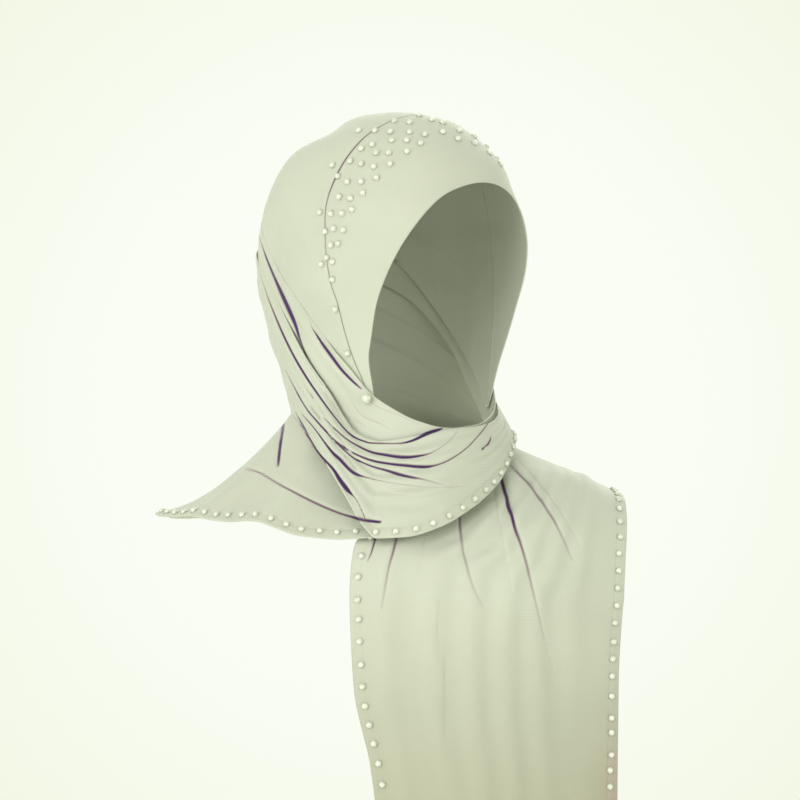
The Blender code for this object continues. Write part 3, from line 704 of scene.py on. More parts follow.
        (168.0, -244.0, 0.5), (164.0, -266.0, 1.2), (162.0, -290.0, 0.5)),
        plane=Plane.ROUND, finest=1.6, reach=8.0, shade=0.5),
    Crease("back_fold_3", (Piece.BACK,), (
        (136.0, -240.0, 0.5), (138.0, -262.0, 1.3), (142.0, -284.0, 0.6)),
        over=Side.RIGHT, plane=Plane.ROUND, finest=1.6, reach=8.0, shade=0.5),
)


@dataclass(frozen=True)
class JerseyFinish:
    """Matte satin jersey: fine wales, faint stripes and soft clouding, with painted shade in the creases and
    painted shade darkening the cloth towards the bottom.
    """

    name: str = "jersey"
    base: tuple = (0.448, 0.462, 0.394, 1.0)
    cloud: tuple = (0.486, 0.503, 0.430, 1.0)
    stripe: tuple = (0.412, 0.424, 0.360, 1.0)
    # Painted shade: darker and browner towards the bottom of the cloth and its low corner at +X
    painted_tail_shade: tuple = (0.345, 0.340, 0.262, 1.0)
    painted_tail_corner_shade: tuple = (0.330, 0.225, 0.190, 1.0)
    # Painted shade colours of the creases
    painted_crease_shade_edge: tuple = (0.150, 0.075, 0.110, 1.0)
    painted_crease_shade_deep: tuple = (0.030, 0.006, 0.085, 1.0)
    wale: float = 0.0009
    course: float = 0.0007
    stripe_pitch: float = 0.0023
    roughness: float = 0.56
    sheen: float = 0.22

    def material(self) -> bpy.types.Material:
        """Build the cloth finish as shader nodes."""
        item = bpy.data.materials.new(self.name)
        item.use_nodes = True
        nodes = NodeKit(item.node_tree)
        shader = nodes.tree.nodes["Principled BSDF"]
        shader.inputs["Roughness"].default_value = self.roughness
        shader.inputs["Sheen Weight"].default_value = self.sheen
        shader.inputs["Sheen Roughness"].default_value = 0.45
        shader.inputs["Specular IOR Level"].default_value = 0.32
        place = nodes.add("ShaderNodeUVMap")
        place.uv_map = "cloth"
        split = nodes.add("ShaderNodeSeparateXYZ", Vector=place.outputs["UV"])
        object_place = nodes.add("ShaderNodeTexCoord").outputs["Object"]
        wander = nodes.add("ShaderNodeTexNoise", Vector=object_place, Scale=22.0, Detail=3.0).outputs["Fac"]
        cloud = nodes.add("ShaderNodeTexNoise", Vector=object_place, Scale=9.0, Detail=5.0).outputs["Fac"]
        wale = nodes.wave(split.outputs["X"], self.wale, None, 0.0)
        course = nodes.wave(split.outputs["Y"], self.course, None, 0.0)
        stripe = nodes.wave(split.outputs["X"], self.stripe_pitch, wander, 9.0)
        patchy = nodes.math("MULTIPLY", stripe, nodes.ramp(wander, 0.42, 0.66))
        colour = nodes.blend(nodes.ramp(cloud, 0.30, 0.72), self.base, self.cloud)
        colour = nodes.blend(nodes.math("MULTIPLY", patchy, 0.38), colour, self.stripe)
        # Painted shade: the colour darkens below 0.30 m down, and turns browner towards the low corner at +X
        spot = nodes.add("ShaderNodeSeparateXYZ", Vector=object_place)
        depth_down = nodes.math("MULTIPLY", spot.outputs["Z"], -1.0)
        low = nodes.ramp(depth_down, 0.30, 0.52)
        colour = nodes.blend(nodes.math("MULTIPLY", low, 0.95), colour, self.painted_tail_shade)
        outer = nodes.ramp(spot.outputs["X"], 0.128, 0.165)
        corner_shade_mask = nodes.math("MULTIPLY", nodes.ramp(depth_down, 0.40, 0.54), outer)
        colour = nodes.blend(nodes.math("MULTIPLY", corner_shade_mask, 0.75), colour, self.painted_tail_corner_shade)
        # Painted shade in the creases, along the hems and at the fold line, read from the crease attribute
        crease = nodes.add("ShaderNodeAttribute")
        crease.attribute_name = "crease"
        depth = crease.outputs["Fac"]
        dark = nodes.blend(nodes.ramp(depth, 0.40, 0.85), self.painted_crease_shade_edge, self.painted_crease_shade_deep)
        colour = nodes.blend(nodes.ramp(depth, 0.06, 0.62), colour, dark)
        nodes.tree.links.new(colour, shader.inputs["Base Color"])
        knit = nodes.math("MULTIPLY_ADD", course, 0.35, wale)
        knit = nodes.math("MULTIPLY_ADD", patchy, 0.8, knit)
        bump = nodes.add("ShaderNodeBump", Height=knit, Strength=0.22, Distance=0.00012)
        nodes.tree.links.new(bump.outputs["Normal"], shader.inputs["Normal"])
        return item


class NodeKit:
    """Short ways to add shader nodes to a tree."""

    def __init__(self, tree: bpy.types.NodeTree) -> None:
        """Keep the tree that nodes are added to."""
        self.tree = tree

    def add(self, kind: str, **inputs) -> bpy.types.Node:
        """Add a node and set or link its named inputs."""
        node = self.tree.nodes.new(kind)
        for name, value in inputs.items():
            self.feed(node.inputs[name], value)
        return node

    def feed(self, socket: bpy.types.NodeSocket, value) -> None:
        """Link an output to a socket, or set the socket to a value."""
        if isinstance(value, bpy.types.NodeSocket):
            self.tree.links.new(value, socket)
        elif value is not None:
            socket.default_value = value

    def math(self, operation: str, *values) -> bpy.types.NodeSocket:
        """Add a math node over some values or outputs."""
        node = self.tree.nodes.new("ShaderNodeMath")
        node.operation = operation
        for socket, value in zip(node.inputs, values):
            self.feed(socket, value)
        return node.outputs[0]

    def wave(self, along, pitch: float, wander, amount: float) -> bpy.types.NodeSocket:
        """Sine ribs from 0 to 1 with a pitch in metres, drifting with a noise."""
        phase = self.math("MULTIPLY", along, 2.0 * math.pi / pitch)
        if wander is not None:
            phase = self.math("MULTIPLY_ADD", wander, amount, phase)
        return self.math("MULTIPLY_ADD", self.math("SINE", phase), 0.5, 0.5)

    def ramp(self, value, low: float, high: float) -> bpy.types.NodeSocket:
        """Smooth rise from 0 at low to 1 at high."""
        node = self.tree.nodes.new("ShaderNodeMapRange")
        node.interpolation_type = "SMOOTHSTEP"
        self.feed(node.inputs["Value"], value)
        node.inputs["From Min"].default_value = low
        node.inputs["From Max"].default_value = high
        return node.outputs["Result"]

    def blend(self, share, first, second) -> bpy.types.NodeSocket:
        """Mix two colours by a share."""
        node = self.tree.nodes.new("ShaderNodeMix")
        node.data_type = "RGBA"
        for socket, value in zip((node.inputs[0], node.inputs[6], node.inputs[7]), (share, first, second)):
            self.feed(socket, value)
        return node.outputs[2]


@dataclass(frozen=True)
class HardFinish:
    """A hard finish with a little clouding: crystal, setting or pin."""

    name: str
    base: tuple
    cloud: tuple
    roughness: float
    metallic: float
    coat: float = 0.0
    scale: float = 300.0

    def material(self) -> bpy.types.Material:
        """Build the finish as shader nodes."""
        item = bpy.data.materials.new(self.name)
        item.use_nodes = True
        nodes = NodeKit(item.node_tree)
        shader = nodes.tree.nodes["Principled BSDF"]
        shader.inputs["Metallic"].default_value = self.metallic
        shader.inputs["Coat Weight"].default_value = self.coat
        shader.inputs["Coat Roughness"].default_value = 0.05
        shader.inputs["Roughness"].default_value = self.roughness
        place = nodes.add("ShaderNodeTexCoord").outputs["Object"]
        noise = nodes.add("ShaderNodeTexNoise", Vector=place, Scale=self.scale, Detail=2.0).outputs["Fac"]
        colour = nodes.blend(nodes.ramp(noise, 0.3, 0.7), self.base, self.cloud)
        nodes.tree.links.new(colour, shader.inputs["Base Color"])
        return item


CRYSTAL = HardFinish("crystal", (0.66, 0.68, 0.60, 1.0), (0.52, 0.54, 0.47, 1.0), 0.12, 0.0, 1.0)
SETTING = HardFinish("bead_setting", (0.50, 0.51, 0.43, 1.0), (0.40, 0.41, 0.34, 1.0), 0.36, 0.5)


@dataclass
class Cloth:
    """One thin shell of jersey, from the outer side of its solid."""

    piece: Piece
    surface: np.ndarray
    flat: tuple[float, float]
    area: float
    held: str
    rests_on: tuple[str, ...]
    ring: bool = False
    hems: tuple[Edge, ...] = ()
    ripple: float = 0.35
    ripple_size: tuple[float, float] = (16.0, 60.0)
    seed: int = 1
    thickness: float = CLOTH
    outer: np.ndarray = field(default=None, repr=False)
    seam: Edge | None = None

    @property
    def name(self) -> str:
        """Name of the scene's piece."""
        return self.piece.value + "_cloth"

    def edge_distance(self, edge: Edge) -> np.ndarray:
        """Length along the cloth from one edge to each point."""
        axis = 0 if edge in (Edge.TOP, Edge.BOTTOM) else 1
        along = arc_lengths(self.surface, axis)
        if edge in (Edge.BOTTOM, Edge.END):
            along = np.take(along, [-1], axis=axis) - along
        return along

    def dress(self) -> tuple[np.ndarray, np.ndarray, np.ndarray]:
        """Crease the surface and paint shade into its creases, its hem lines and its fold line.

        Returns:
            The outer side, the inner side and the painted shade of each point.
        """
        normals = grid_normals(self.surface, self.ring)
        toward = np.sum(normals * unit(VIEW_POINT - self.surface), axis=-1)
        seen = smooth_step(-0.10, 0.12, toward)
        offset, shade = np.zeros(seen.shape), np.zeros(seen.shape)
        for crease in CREASES:
            if self.piece in crease.pieces:
                move, dark = crease.read(self.surface)
                weight = seen if crease.plane is Plane.VIEW else 1.0 - seen
                offset += move * weight
                # Painted shade of the crease, darkening the cloth's colour
                shade = np.maximum(shade, dark * weight)
        across = arc_lengths(self.surface, 0) / self.ripple_size[0]
        along = arc_lengths(self.surface, 1) / self.ripple_size[1]
        noise = soft_noise(across, along, self.seed)
        noise += 0.5 * soft_noise(across * 2.3, along * 1.7, self.seed + 7)
        offset += self.ripple * noise
        thickness = np.full(seen.shape, self.thickness)
        for edge in self.hems:
            gap = self.edge_distance(edge)
            thickness += 0.5 * smooth_step(HEM_WIDTH + 0.9, HEM_WIDTH - 0.6, gap)
            offset -= 0.28 * np.exp(-((gap - HEM_WIDTH) / 0.7) ** 2)
            # Faint painted shade line along the inner edge of the hem
            shade = np.maximum(shade, 0.10 * np.exp(-((gap - HEM_WIDTH) / 0.6) ** 2))
        if self.seam:
            # Painted shade line along the fold line where band and hood meet, strongest between -52 and -30
            # mm high
            gap, height = self.edge_distance(self.seam), self.surface[..., 2]
            strength = 0.24 + 0.20 * smooth_step(-78.0, -52.0, height)
            strength -= 0.12 * smooth_step(-30.0, -8.0, height)
            shade = np.maximum(shade, strength * np.exp(-(gap / 0.6) ** 2))
            offset -= 0.35 * np.exp(-(gap / 1.2) ** 2)
        self.outer = self.surface + normals * offset[..., None]
        inner = self.outer - grid_normals(self.outer, self.ring) * thickness[..., None]
        return self.outer, inner, shade

    def grid_faces(self) -> np.ndarray:
        """Corner numbers of the faces between neighbouring points of the grid."""
        rows, columns = self.surface.shape[:2]
        spans = columns if self.ring else columns - 1
        j, i = np.meshgrid(np.arange(rows - 1), np.arange(spans), indexing="ij")
        k = (i + 1) % columns
        low, high = j * columns, (j + 1) * columns
        return np.stack([low + i, low + k, high + k, high + i], axis=-1).reshape(-1, 4)

    def perimeters(self) -> list[list[tuple[int, int]]]:
        """Rows and columns along each open edge, in the order of the outer faces."""
        rows, columns = self.surface.shape[:2]
        if self.ring:
            top = [(0, i) for i in range(columns)]
            return [top, [(rows - 1, -i % columns) for i in range(columns)]]
        loop = [(0, i) for i in range(columns - 1)] + [(j, columns - 1) for j in range(rows - 1)]
        loop += [(rows - 1, i) for i in range(columns - 1, 0, -1)] + [(j, 0) for j in range(rows - 1, 0, -1)]
        return [loop]

    def build(self, finish: bpy.types.Material) -> bpy.types.Object:
        """Make the closed shell with its edges rolled round, its cloth map and its painted shade.

        Args:
            finish: The jersey.

        Returns:
            The new piece.
        """
        outer, inner, shade = self.dress()
        rows, columns = shade.shape
        count = rows * columns
        quads = self.grid_faces()
        points = [outer.reshape(-1, 3), inner.reshape(-1, 3)]
        faces = [quads, quads[:, ::-1] + count]
        sources = [np.arange(count), np.arange(count)]
        first = 2 * count
        for loop in self.perimeters():
            spots = np.array(loop)
            inside_j = np.clip(spots[:, 0], 1, rows - 2)
            inside_i = spots[:, 1] if self.ring else np.clip(spots[:, 1], 1, columns - 2)
            edge, back = outer[spots[:, 0], spots[:, 1]], inner[spots[:, 0], spots[:, 1]]
            away = unit(edge - outer[inside_j, inside_i])
            half = 0.5 * np.linalg.norm(edge - back, axis=-1, keepdims=True)
            points.append(0.5 * (edge + back) + away * half)
            flat_index = spots[:, 0] * columns + spots[:, 1]
            sources.append(flat_index)
            rim = first + np.arange(len(spots))
            first += len(spots)
            after, rim_after = np.roll(flat_index, -1), np.roll(rim, -1)
            faces.append(np.stack([after, flat_index, rim, rim_after], axis=-1))
            faces.append(np.stack([rim_after, rim, flat_index + count, after + count], axis=-1))
        vertices, quads = np.vstack(points), np.vstack(faces)
        first_corner, second, third = vertices[quads[len(faces[0]) // 2][:3]]
        normal = np.cross(second - first_corner, third - second)
        if float(normal @ (first_corner * (1.0, 1.0, 0.0))) < 0:
            quads = quads[:, ::-1]
        source = np.concatenate(sources)
        item = mesh_object(self.name, vertices, quads, [finish])
        self.map_cloth(item.data, quads, source)
        # The crease attribute holds the painted shade of creases, hems and fold line; the inner side gets
        # none.
        painted_shade_layer = item.data.attributes.new("crease", "FLOAT", "POINT")
        values = shade.reshape(-1)[source]
        values[count:2 * count] = 0.0
        painted_shade_layer.data.foreach_set("value", values.astype(np.float32))
        return item

    def map_cloth(self, mesh: bpy.types.Mesh, quads: np.ndarray, source: np.ndarray) -> None:
        """Lay the cloth out flat in metres: across the folds, then along them."""
        across, along = arc_lengths(self.surface, 0), arc_lengths(self.surface, 1)
        middle = along[along.shape[0] // 2]
        flat = np.stack([across, np.broadcast_to(middle, across.shape)], axis=-1).reshape(-1, 2)
        corners = flat[source[quads.reshape(-1)]]
        if self.ring:
            column = (source[quads.reshape(-1)] % across.shape[1]).reshape(-1, 4)
            closing = (column.max(axis=1) == across.shape[1] - 1) & (column.min(axis=1) == 0)
            corners = corners.reshape(-1, 4, 2)
            step = middle[-1] - middle[-2]
            corners[..., 1] += np.where(closing[:, None] & (column == 0), middle[-1] + step, 0.0)
        layer = mesh.uv_layers.new(name="cloth")
        layer.data.foreach_set("uv", (corners.reshape(-1) * MM).astype(np.float32))

    def tree(self) -> BVHTree:
        """Search tree of the dressed outer side, in millimetres."""
        return BVHTree.FromPolygons(self.outer.reshape(-1, 3).tolist(), self.grid_faces().tolist())


def mesh_object(name: str, vertices: np.ndarray, faces, finishes: list) -> bpy.types.Object:
    """Make an object from points in millimetres and faces.

    Args:
        name: Name of the piece.
        vertices: Points in millimetres.
        faces: Corner numbers of each face.
        finishes: Materials of the piece.

    Returns:
        The new object, smooth and in the scene.
    """
    mesh = bpy.data.meshes.new(name)
    mesh.from_pydata((np.asarray(vertices) * MM).tolist(), [], [tuple(face) for face in faces])
    mesh.update()
    mesh.shade_smooth()
    for finish in finishes:
        mesh.materials.append(finish)
    item = bpy.data.objects.new(name, mesh)
    bpy.context.scene.collection.objects.link(item)
    return item


@dataclass
class HeadCover:
    """Front band and hood, which meet at the fold line."""

    band_columns: int = 300
    band_rows: int = 60
    hood_columns: int = 230
    hood_rows: int = 150
    flare: float = 5.0
    flare_start: float = 0.45
    nape_spread: float = 40.0
    tuck: float = 12.0

    def band(self) -> Cloth:
        """Stretch from the face edge back to the fold line."""
        place = np.linspace(0.0, 1.0, self.band_columns + 1)
        edge, seam = FORM.head_arc(EDGE_ROWS, EDGE_TOP, place), FORM.head_arc(SEAM_ROWS, SEAM_TOP, place)
        share = np.linspace(0.0, 1.0, self.band_rows + 1)[:, None]
        points = FORM.cast(slerp(edge[None], seam[None], 0.995 * share[..., None]))
        late = np.maximum(place - self.flare_start, 0.0) / (1.0 - self.flare_start)
        lift = self.flare * np.sin(math.pi * late)[None] * (1.0 - share) ** 1.5
        points = points + FORM.normal(points) * lift[..., None]
        surface = points + grid_normals(points, False) * WALL
        return Cloth(Piece.BAND, surface, (0.095, 0.527), 0.027, "stretched", ("hood",), seam=Edge.BOTTOM,
                     seed=11, ripple=0.15)

    def hood(self) -> Cloth:
        """Stretch behind the fold line, over the crown and down to the nape."""
        place = np.linspace(0.0, 1.0, self.hood_columns + 1)
        front = FORM.head_arc(SEAM_ROWS, SEAM_TOP, place, -SEAM_GAP - 0.3)
        azimuth = HEAD_TURN + 90.0 + self.nape_spread * (1.0 - 2.0 * place)
        height = read_table(CHIN_ROWS, azimuth, 1, 360.0) - self.tuck
        back = unit(FORM.point(azimuth, height) - CAST_FROM)
        share = np.linspace(0.0, 1.0, self.hood_rows + 1)[:, None, None]
        points = FORM.cast(slerp(front[None], back[None], share))
        surface = points + grid_normals(points, False) * WALL
        return Cloth(Piece.HOOD, surface, (0.172, 0.527), 0.047, "stretched", ("front_band",), seam=Edge.TOP,
                     seed=12, ripple=0.25)


def roll_height(rows: tuple, place: np.ndarray) -> np.ndarray:
    """How far a wrap stands out at places between its upper and its lower edge."""
    return sum(depth * np.exp(-((place - centre) / half) ** 2) for centre, half, depth in rows)


@dataclass
class NeckWraps:
    """Wrap under the chin and the cowl below it."""

    chin_rows: int = 52
    cowl_rows: int = 112
    settled: float = 0.35
    cowl_settle: float = 2.3

    def chin(self) -> Cloth:
        """Smooth ring from high behind down under the face opening."""
        azimuth = ring_azimuths(0.80, 2.4)
        share = np.linspace(0.0, 1.0, self.chin_rows + 1)[:, None]
        top, low = (read_table(CHIN_ROWS, azimuth, column, 360.0)[None] for column in (1, 2))
        height = top + (low - top) * share
        points = FORM.point(np.broadcast_to(azimuth, height.shape), height)
        away = (azimuth + 360.0) % 360.0 - 215.0
        near_side = np.exp(-(away / 42.0) ** 2)[None]
        fold = roll_height(CHIN_FOLDS, share) * near_side * smooth_step(1.0, 0.9, share)
        turn = azimuth % 360.0
        merged = smooth_step(120.0, 150.0, turn) * smooth_step(243.0, 232.0, turn)
        settle = merged[None] * (1.0 - smooth_step(0.0, 0.45, share))
        lift = (LAYER + fold) * (1.0 - settle) + self.settled * settle
        points = points + FORM.normal(points) * lift[..., None]
        surface = points + grid_normals(points, True) * WALL
        return Cloth(Piece.CHIN, surface, (0.050, 0.667), 0.0195, "stretched", ("hood", "front_band"),
                     ring=True, seed=13, ripple=0.3, ripple_size=(9.0, 60.0))

    def cowl(self) -> Cloth:
        """Loose rolls from high behind to the beaded hem at the front."""
        azimuth = ring_azimuths(0.74, 2.2)
        share = np.linspace(0.0, 1.0, self.cowl_rows + 1)[:, None]
        top, low, hem, strength = (read_table(COWL_ROWS, azimuth, column, 360.0) for column in (1, 2, 3, 4))
        start = FORM.point(azimuth, top)
        upper = start + FORM.normal(start) * 2 * LAYER
        base = upper[None] + (polar(azimuth, hem, low) - upper)[None] * share[..., None]
        height = top + (low - top) * share
        skin = FORM.radius(np.broadcast_to(azimuth, height.shape), height) + 2 * LAYER
        radius = np.hypot(base[..., 0], base[..., 1])
        tight = np.broadcast_to(azimuth, height.shape)
        base = np.where((radius < skin)[..., None], polar(tight, skin, base[..., 2]), base)
        near_side = np.exp(-((azimuth % 360.0 - 185.0) / 30.0) ** 2)[None]
        settle = near_side * (1.0 - smooth_step(0.0, 0.30, share))
        base = base - FORM.normal(base) * (self.cowl_settle * settle)[..., None]
        outward = unit(polar(azimuth, 1.0, 0.3))
        points = base + outward[None] * (roll_height(ROLL_ROWS, share) * strength)[..., None]
        surface = points + grid_normals(points, True) * WALL
        return Cloth(Piece.COWL, surface, (0.145, 0.670), 0.051, "draped", ("chin_wrap", "shoulder_drape"),
                     ring=True, hems=(Edge.BOTTOM,), seed=14, ripple=0.4, ripple_size=(8.0, 70.0))


@dataclass
class Cape:
    """The stretches over the shoulders and across the back."""

    shoulder_grid: tuple[int, int] = (170, 92)
    back_grid: tuple[int, int] = (150, 56)

    def points(self, azimuth: np.ndarray, share: np.ndarray) -> np.ndarray:
        """Points of the cape at azimuths and shares of the way from the neck to the hem."""
        values = (read_table(CAPE_ROWS, azimuth, column)[None] for column in range(1, 7))
        neck_r, neck_z, mid_r, mid_z, hem_r, hem_z = values
        first, second, third = (1.0 - share) ** 2, 2.0 * share * (1.0 - share), share ** 2
        radius = first * neck_r + second * (2.0 * mid_r - 0.5 * (neck_r + hem_r)) + third * hem_r
        height = first * neck_z + second * (2.0 * mid_z - 0.5 * (neck_z + hem_z)) + third * hem_z
        for at_neck, at_hem, width, depth in CAPE_FOLDS:
            away = (azimuth[None] - at_neck - (at_hem - at_neck) * share) / width
            bulge = depth * np.exp(-away * away) * np.minimum(1.0, 2.2 * share) * 0.7
            radius, height = radius + bulge, height + bulge
        return polar(azimuth[None], radius, height)

    def sheet(self, piece: Piece, start: float, end: float, size: tuple[int, int], **facts) -> Cloth:
        """One stretch of the cape between two azimuths."""
        azimuth = np.linspace(start, end, size[0] + 1)
        share = np.linspace(0.0, 1.0, size[1] + 1)[:, None]
        points = self.points(azimuth, share)
        return Cloth(piece, points + grid_normals(points, False) * WALL, held="draped",
                     rests_on=("neck_wrap",), hems=(Edge.BOTTOM,), **facts)

    def shoulder(self) -> Cloth:
        """Fold over the shoulder at the viewer's left, down to its beaded hem."""
        return self.sheet(Piece.SHOULDER, CAPE_SPLIT + 0.1, CAPE_ROWS[-1][0], self.shoulder_grid,
                          flat=(0.133, 0.262), area=0.0176, seed=15, ripple=0.5, ripple_size=(40.0, 30.0))

    def back(self) -> Cloth:
        """Hidden stretch across the back."""
        return self.sheet(Piece.BACK, CAPE_ROWS[0][0], CAPE_SPLIT - 0.1, self.back_grid, flat=(0.133, 0.411),
                          area=0.033, seed=16, ripple=0.8, ripple_size=(50.0, 34.0))


@dataclass
class FrontPanel:
    """Free end of the scarf: over the shoulder and down the front, with gathers."""

    columns: int = 250
    row_runs: tuple = ((0.0, 0.20, 24), (0.20, 0.62, 130), (0.62, 1.0, 36))

    def points(self, across: np.ndarray, down: np.ndarray) -> np.ndarray:
        """Points across from the left edge and down from the shoulder."""
        rows = tuple((float(i),) + row for i, row in enumerate(PANEL_ROWS))
        values = [read_table(rows, down * (len(rows) - 1), column) for column in range(1, 9)]
        crowd = GATHER_CROWDING + (1.0 - GATHER_CROWDING) * np.minimum(1.0, down / 0.45)
        share = (across ** crowd)[..., None]
        left, right = np.stack(values[0:3], axis=-1), np.stack(values[3:6], axis=-1)
        arch = 4.0 * share * (1.0 - share)
        bow = np.stack([0.0 * down, -values[6], values[7]], axis=-1)
        return left + (right - left) * share + bow * arch

    def gathers(self, across: np.ndarray, down: np.ndarray) -> np.ndarray:
        """How far the gathers stand out."""
        total = np.zeros(across.shape)
        for at_top, at_hem, start, end, depth in GATHER_ROWS:
            place = (down - start) / (end - start)
            fade = np.minimum(1.0, 5.0 * place) * (1.0 - 0.75 * place)
            away = (across - at_top - (at_hem - at_top) * down) / GATHER_WIDTH
            inside = (down > start) & (down < end + 0.001)
            total += np.where(inside, depth * fade * np.exp(-away * away), 0.0)
        return total

    def sheet(self) -> Cloth:
        """The whole panel."""
        runs = [np.linspace(start, end, count, endpoint=False) for start, end, count in self.row_runs]
        columns = np.linspace(0.0, 1.0, self.columns + 1)
        down, across = np.meshgrid(np.append(np.concatenate(runs), 1.0), columns, indexing="ij")
        points = self.points(across, down)
        points = points + grid_normals(points, False) * self.gathers(across, down)[..., None]
        points[0, :, 1] -= 2 * SEAM_GAP
        surface = points + grid_normals(points, False) * WALL
        return Cloth(Piece.PANEL, surface, (0.205, 0.498), 0.0735, "gathered",
                     ("shoulder_drape", "neck_wrap"), hems=(Edge.START, Edge.END, Edge.BOTTOM), seed=17,
                     ripple=0.7, ripple_size=(120.0, 22.0))


# Scattered beads of the band and the hood, as they stand in the viewing plane: across, height
SCATTERED_BEADS = (
    (-22, -12), (-10, -12), (1, -13), (4, -5), (15, -6), (22, -1), (15, -13), (31, -4),
    (39, -6), (39, -13), (26, -15), (13, -19), (23, -21), (51, -12), (50, -18), (62, -16),
    (62, -21), (73, -28), (81, -36), (88, -48), (2, -19), (0, -28), (13, -27), (-12, -22),
    (-9, -28), (-20, -25), (-28, -34), (-20, -36), (-11, -38), (1, -36), (-41, -37), (-37, -45),
    (-30, -49), (-20, -49), (-9, -46), (-19, -57), (-36, -60), (-28, -61), (-50, -71), (-42, -72),
    (-34, -72), (-27, -69), (-40, -83), (-33, -84), (-46, -85), (-42, -95), (-37, -94), (-45, -104),
    (-49, -109), (-41, -107), (-41, -120), (-39, -142), (-30, -174),
)


# Hem beads: piece, edge, length to the first bead, spacing, inset, length left free at the end
HEM_BEADS = (
    (Piece.COWL, Edge.BOTTOM, 196.0, 13.6, 4.0, 24.0),
    (Piece.SHOULDER, Edge.BOTTOM, 5.0, 13.2, 5.0, 14.0),
    (Piece.BACK, Edge.BOTTOM, 6.0, 13.2, 5.0, 6.0),
    (Piece.PANEL, Edge.START, 150.0, 14.6, 6.0, 8.0),
    (Piece.PANEL, Edge.END, 6.0, 12.5, 6.0, 8.0),
    (Piece.PANEL, Edge.BOTTOM, 6.0, 14.0, 6.0, 4.0),
)


@dataclass
class Beads:
    """Small crystal beads in cups, joined into one mesh for each piece of cloth."""

    segments: int = 12
    mirrored_beyond: float = 34.0
    # Profile of one bead from its foot up: radius, height, 0 crystal or 1 cup
    profile: tuple = (
        (2.10, -0.30, 1),
        (2.42, 0.30, 1),
        (2.32, 0.80, 1),
        (2.02, 0.90, 1),
        (2.06, 1.15, 0),
        (1.78, 1.95, 0),
        (1.15, 2.55, 0),
        (0.50, 2.80, 0),
    )

    def one(self) -> tuple[np.ndarray, list, list]:
        """Points, faces and material numbers of one bead standing on its foot."""
        n = self.segments
        points, faces, kinds = [], [], []
        for ring, (radius, height, _) in enumerate(self.profile):
            points.append(circle(radius, height, n, 0.5 * (ring % 2)))
            if ring:
                first, shift = (ring - 1) * n, 1 - ring % 2
                for k in range(n):
                    a, b = first + k, first + (k + 1) % n
                    c, d = first + n + (k + shift) % n, first + n + (k - 1 + shift) % n
                    faces += [(a, b, c), (a, c, d)]
                    kinds += [self.profile[ring][2]] * 2
        top = len(self.profile) - 1
        faces += [tuple(range(n - 1, -1, -1)), tuple(range(top * n, top * n + n))]
        kinds += [1, 0]
        return np.vstack(points), faces, kinds

    def join(self, name: str, places: list) -> bpy.types.Object:
        """One mesh of beads at some points with their outward directions.

        Args:
            name: Name of the piece.
            places: Pairs of point and direction, in millimetres.

        Returns:
            The joined beads.
        """
        points, faces, kinds = self.one()
        vertices, all_faces = [], []
        for number, (spot, normal) in enumerate(places):
            turn = np.array(Vector(normal).to_track_quat("Z", "Y").to_matrix())
            vertices.append(points @ turn.T + np.array(spot) - 0.1 * np.array(normal))
            all_faces += [tuple(index + number * len(points) for index in face) for face in faces]
        item = mesh_object(name, np.vstack(vertices), all_faces, self.finishes)
        item.data.polygons.foreach_set("material_index", np.array(kinds * len(places), np.int32))
        item.data.set_sharp_from_angle(angle=math.radians(16.0))
        return item

    def __post_init__(self) -> None:
        """Make the bead finishes once."""
        self.finishes = [CRYSTAL.material(), SETTING.material()]

    def scattered(self, cloths: dict) -> dict:
        """Seat the scattered beads on the near side, and again on the far side."""
        trees = {piece: cloths[piece].tree() for piece in (Piece.BAND, Piece.HOOD)}
        turn = math.radians(HEAD_TURN)
        side = Vector((math.cos(turn), math.sin(turn), 0.0))
        eye = Vector(VIEW_POINT)
        found = {piece: [] for piece in trees}
        for across, height in SCATTERED_BEADS:
            ray = (Vector((across, 0.0, height)) - eye).normalized()
            hits = {piece: tree.ray_cast(eye, ray) for piece, tree in trees.items()}
            hits = {piece: hit for piece, hit in hits.items() if hit[0] is not None}
            if hits:
                piece = min(hits, key=lambda key: hits[key][3])
                spot, normal = hits[piece][0], hits[piece][1]
            else:
                piece = Piece.BAND
                spot, normal = trees[piece].find_nearest(eye - ray * VIEW_POINT[1])[:2]
            found[piece].append((spot, self.outward(spot, normal)))
            if spot.dot(side) < -self.mirrored_beyond:
                spot, normal = trees[piece].find_nearest(spot - side * (2.0 * spot.dot(side)))[:2]
                found[piece].append((spot, self.outward(spot, normal)))
        return found

    def outward(self, spot: Vector, normal: Vector) -> Vector:
        """The normal, turned to point away from the middle of the hood."""
        return normal if normal.dot(spot - Vector(CAST_FROM)) > 0 else -normal

    def along(self, cloth: Cloth, edge: Edge, start: float, spacing: float, inset: float,
              stop: float) -> list:
        """Seat beads along a hem.

        Args:
            cloth: The dressed cloth.
            edge: Which edge.
            start: Length along the edge to the first bead.
            spacing: Length between beads.
            inset: How far in from the edge.
            stop: Length left free at the far end.

        Returns:
            Pairs of point and direction.
        """
        grid, normals = cloth.outer, grid_normals(cloth.outer, cloth.ring)
        if edge in (Edge.START, Edge.END):
            grid, normals = grid.transpose(1, 0, 2), normals.transpose(1, 0, 2)
        if edge in (Edge.BOTTOM, Edge.END):
            grid, normals = grid[::-1], normals[::-1]
        line = grid[0]
        if cloth.ring:
            line = np.vstack([line, line[:1]])
        along = np.concatenate([[0.0], np.cumsum(np.linalg.norm(np.diff(line, axis=0), axis=1))])
        inward = arc_lengths(grid, 0)
        places = []
        for target in np.arange(start, along[-1] - stop, spacing):
            column = int(np.argmin(np.abs(along[: grid.shape[1]] - target)))
            row = int(np.argmin(np.abs(inward[:, column] - inset)))
            places.append((grid[row, column], normals[row, column]))
        return places


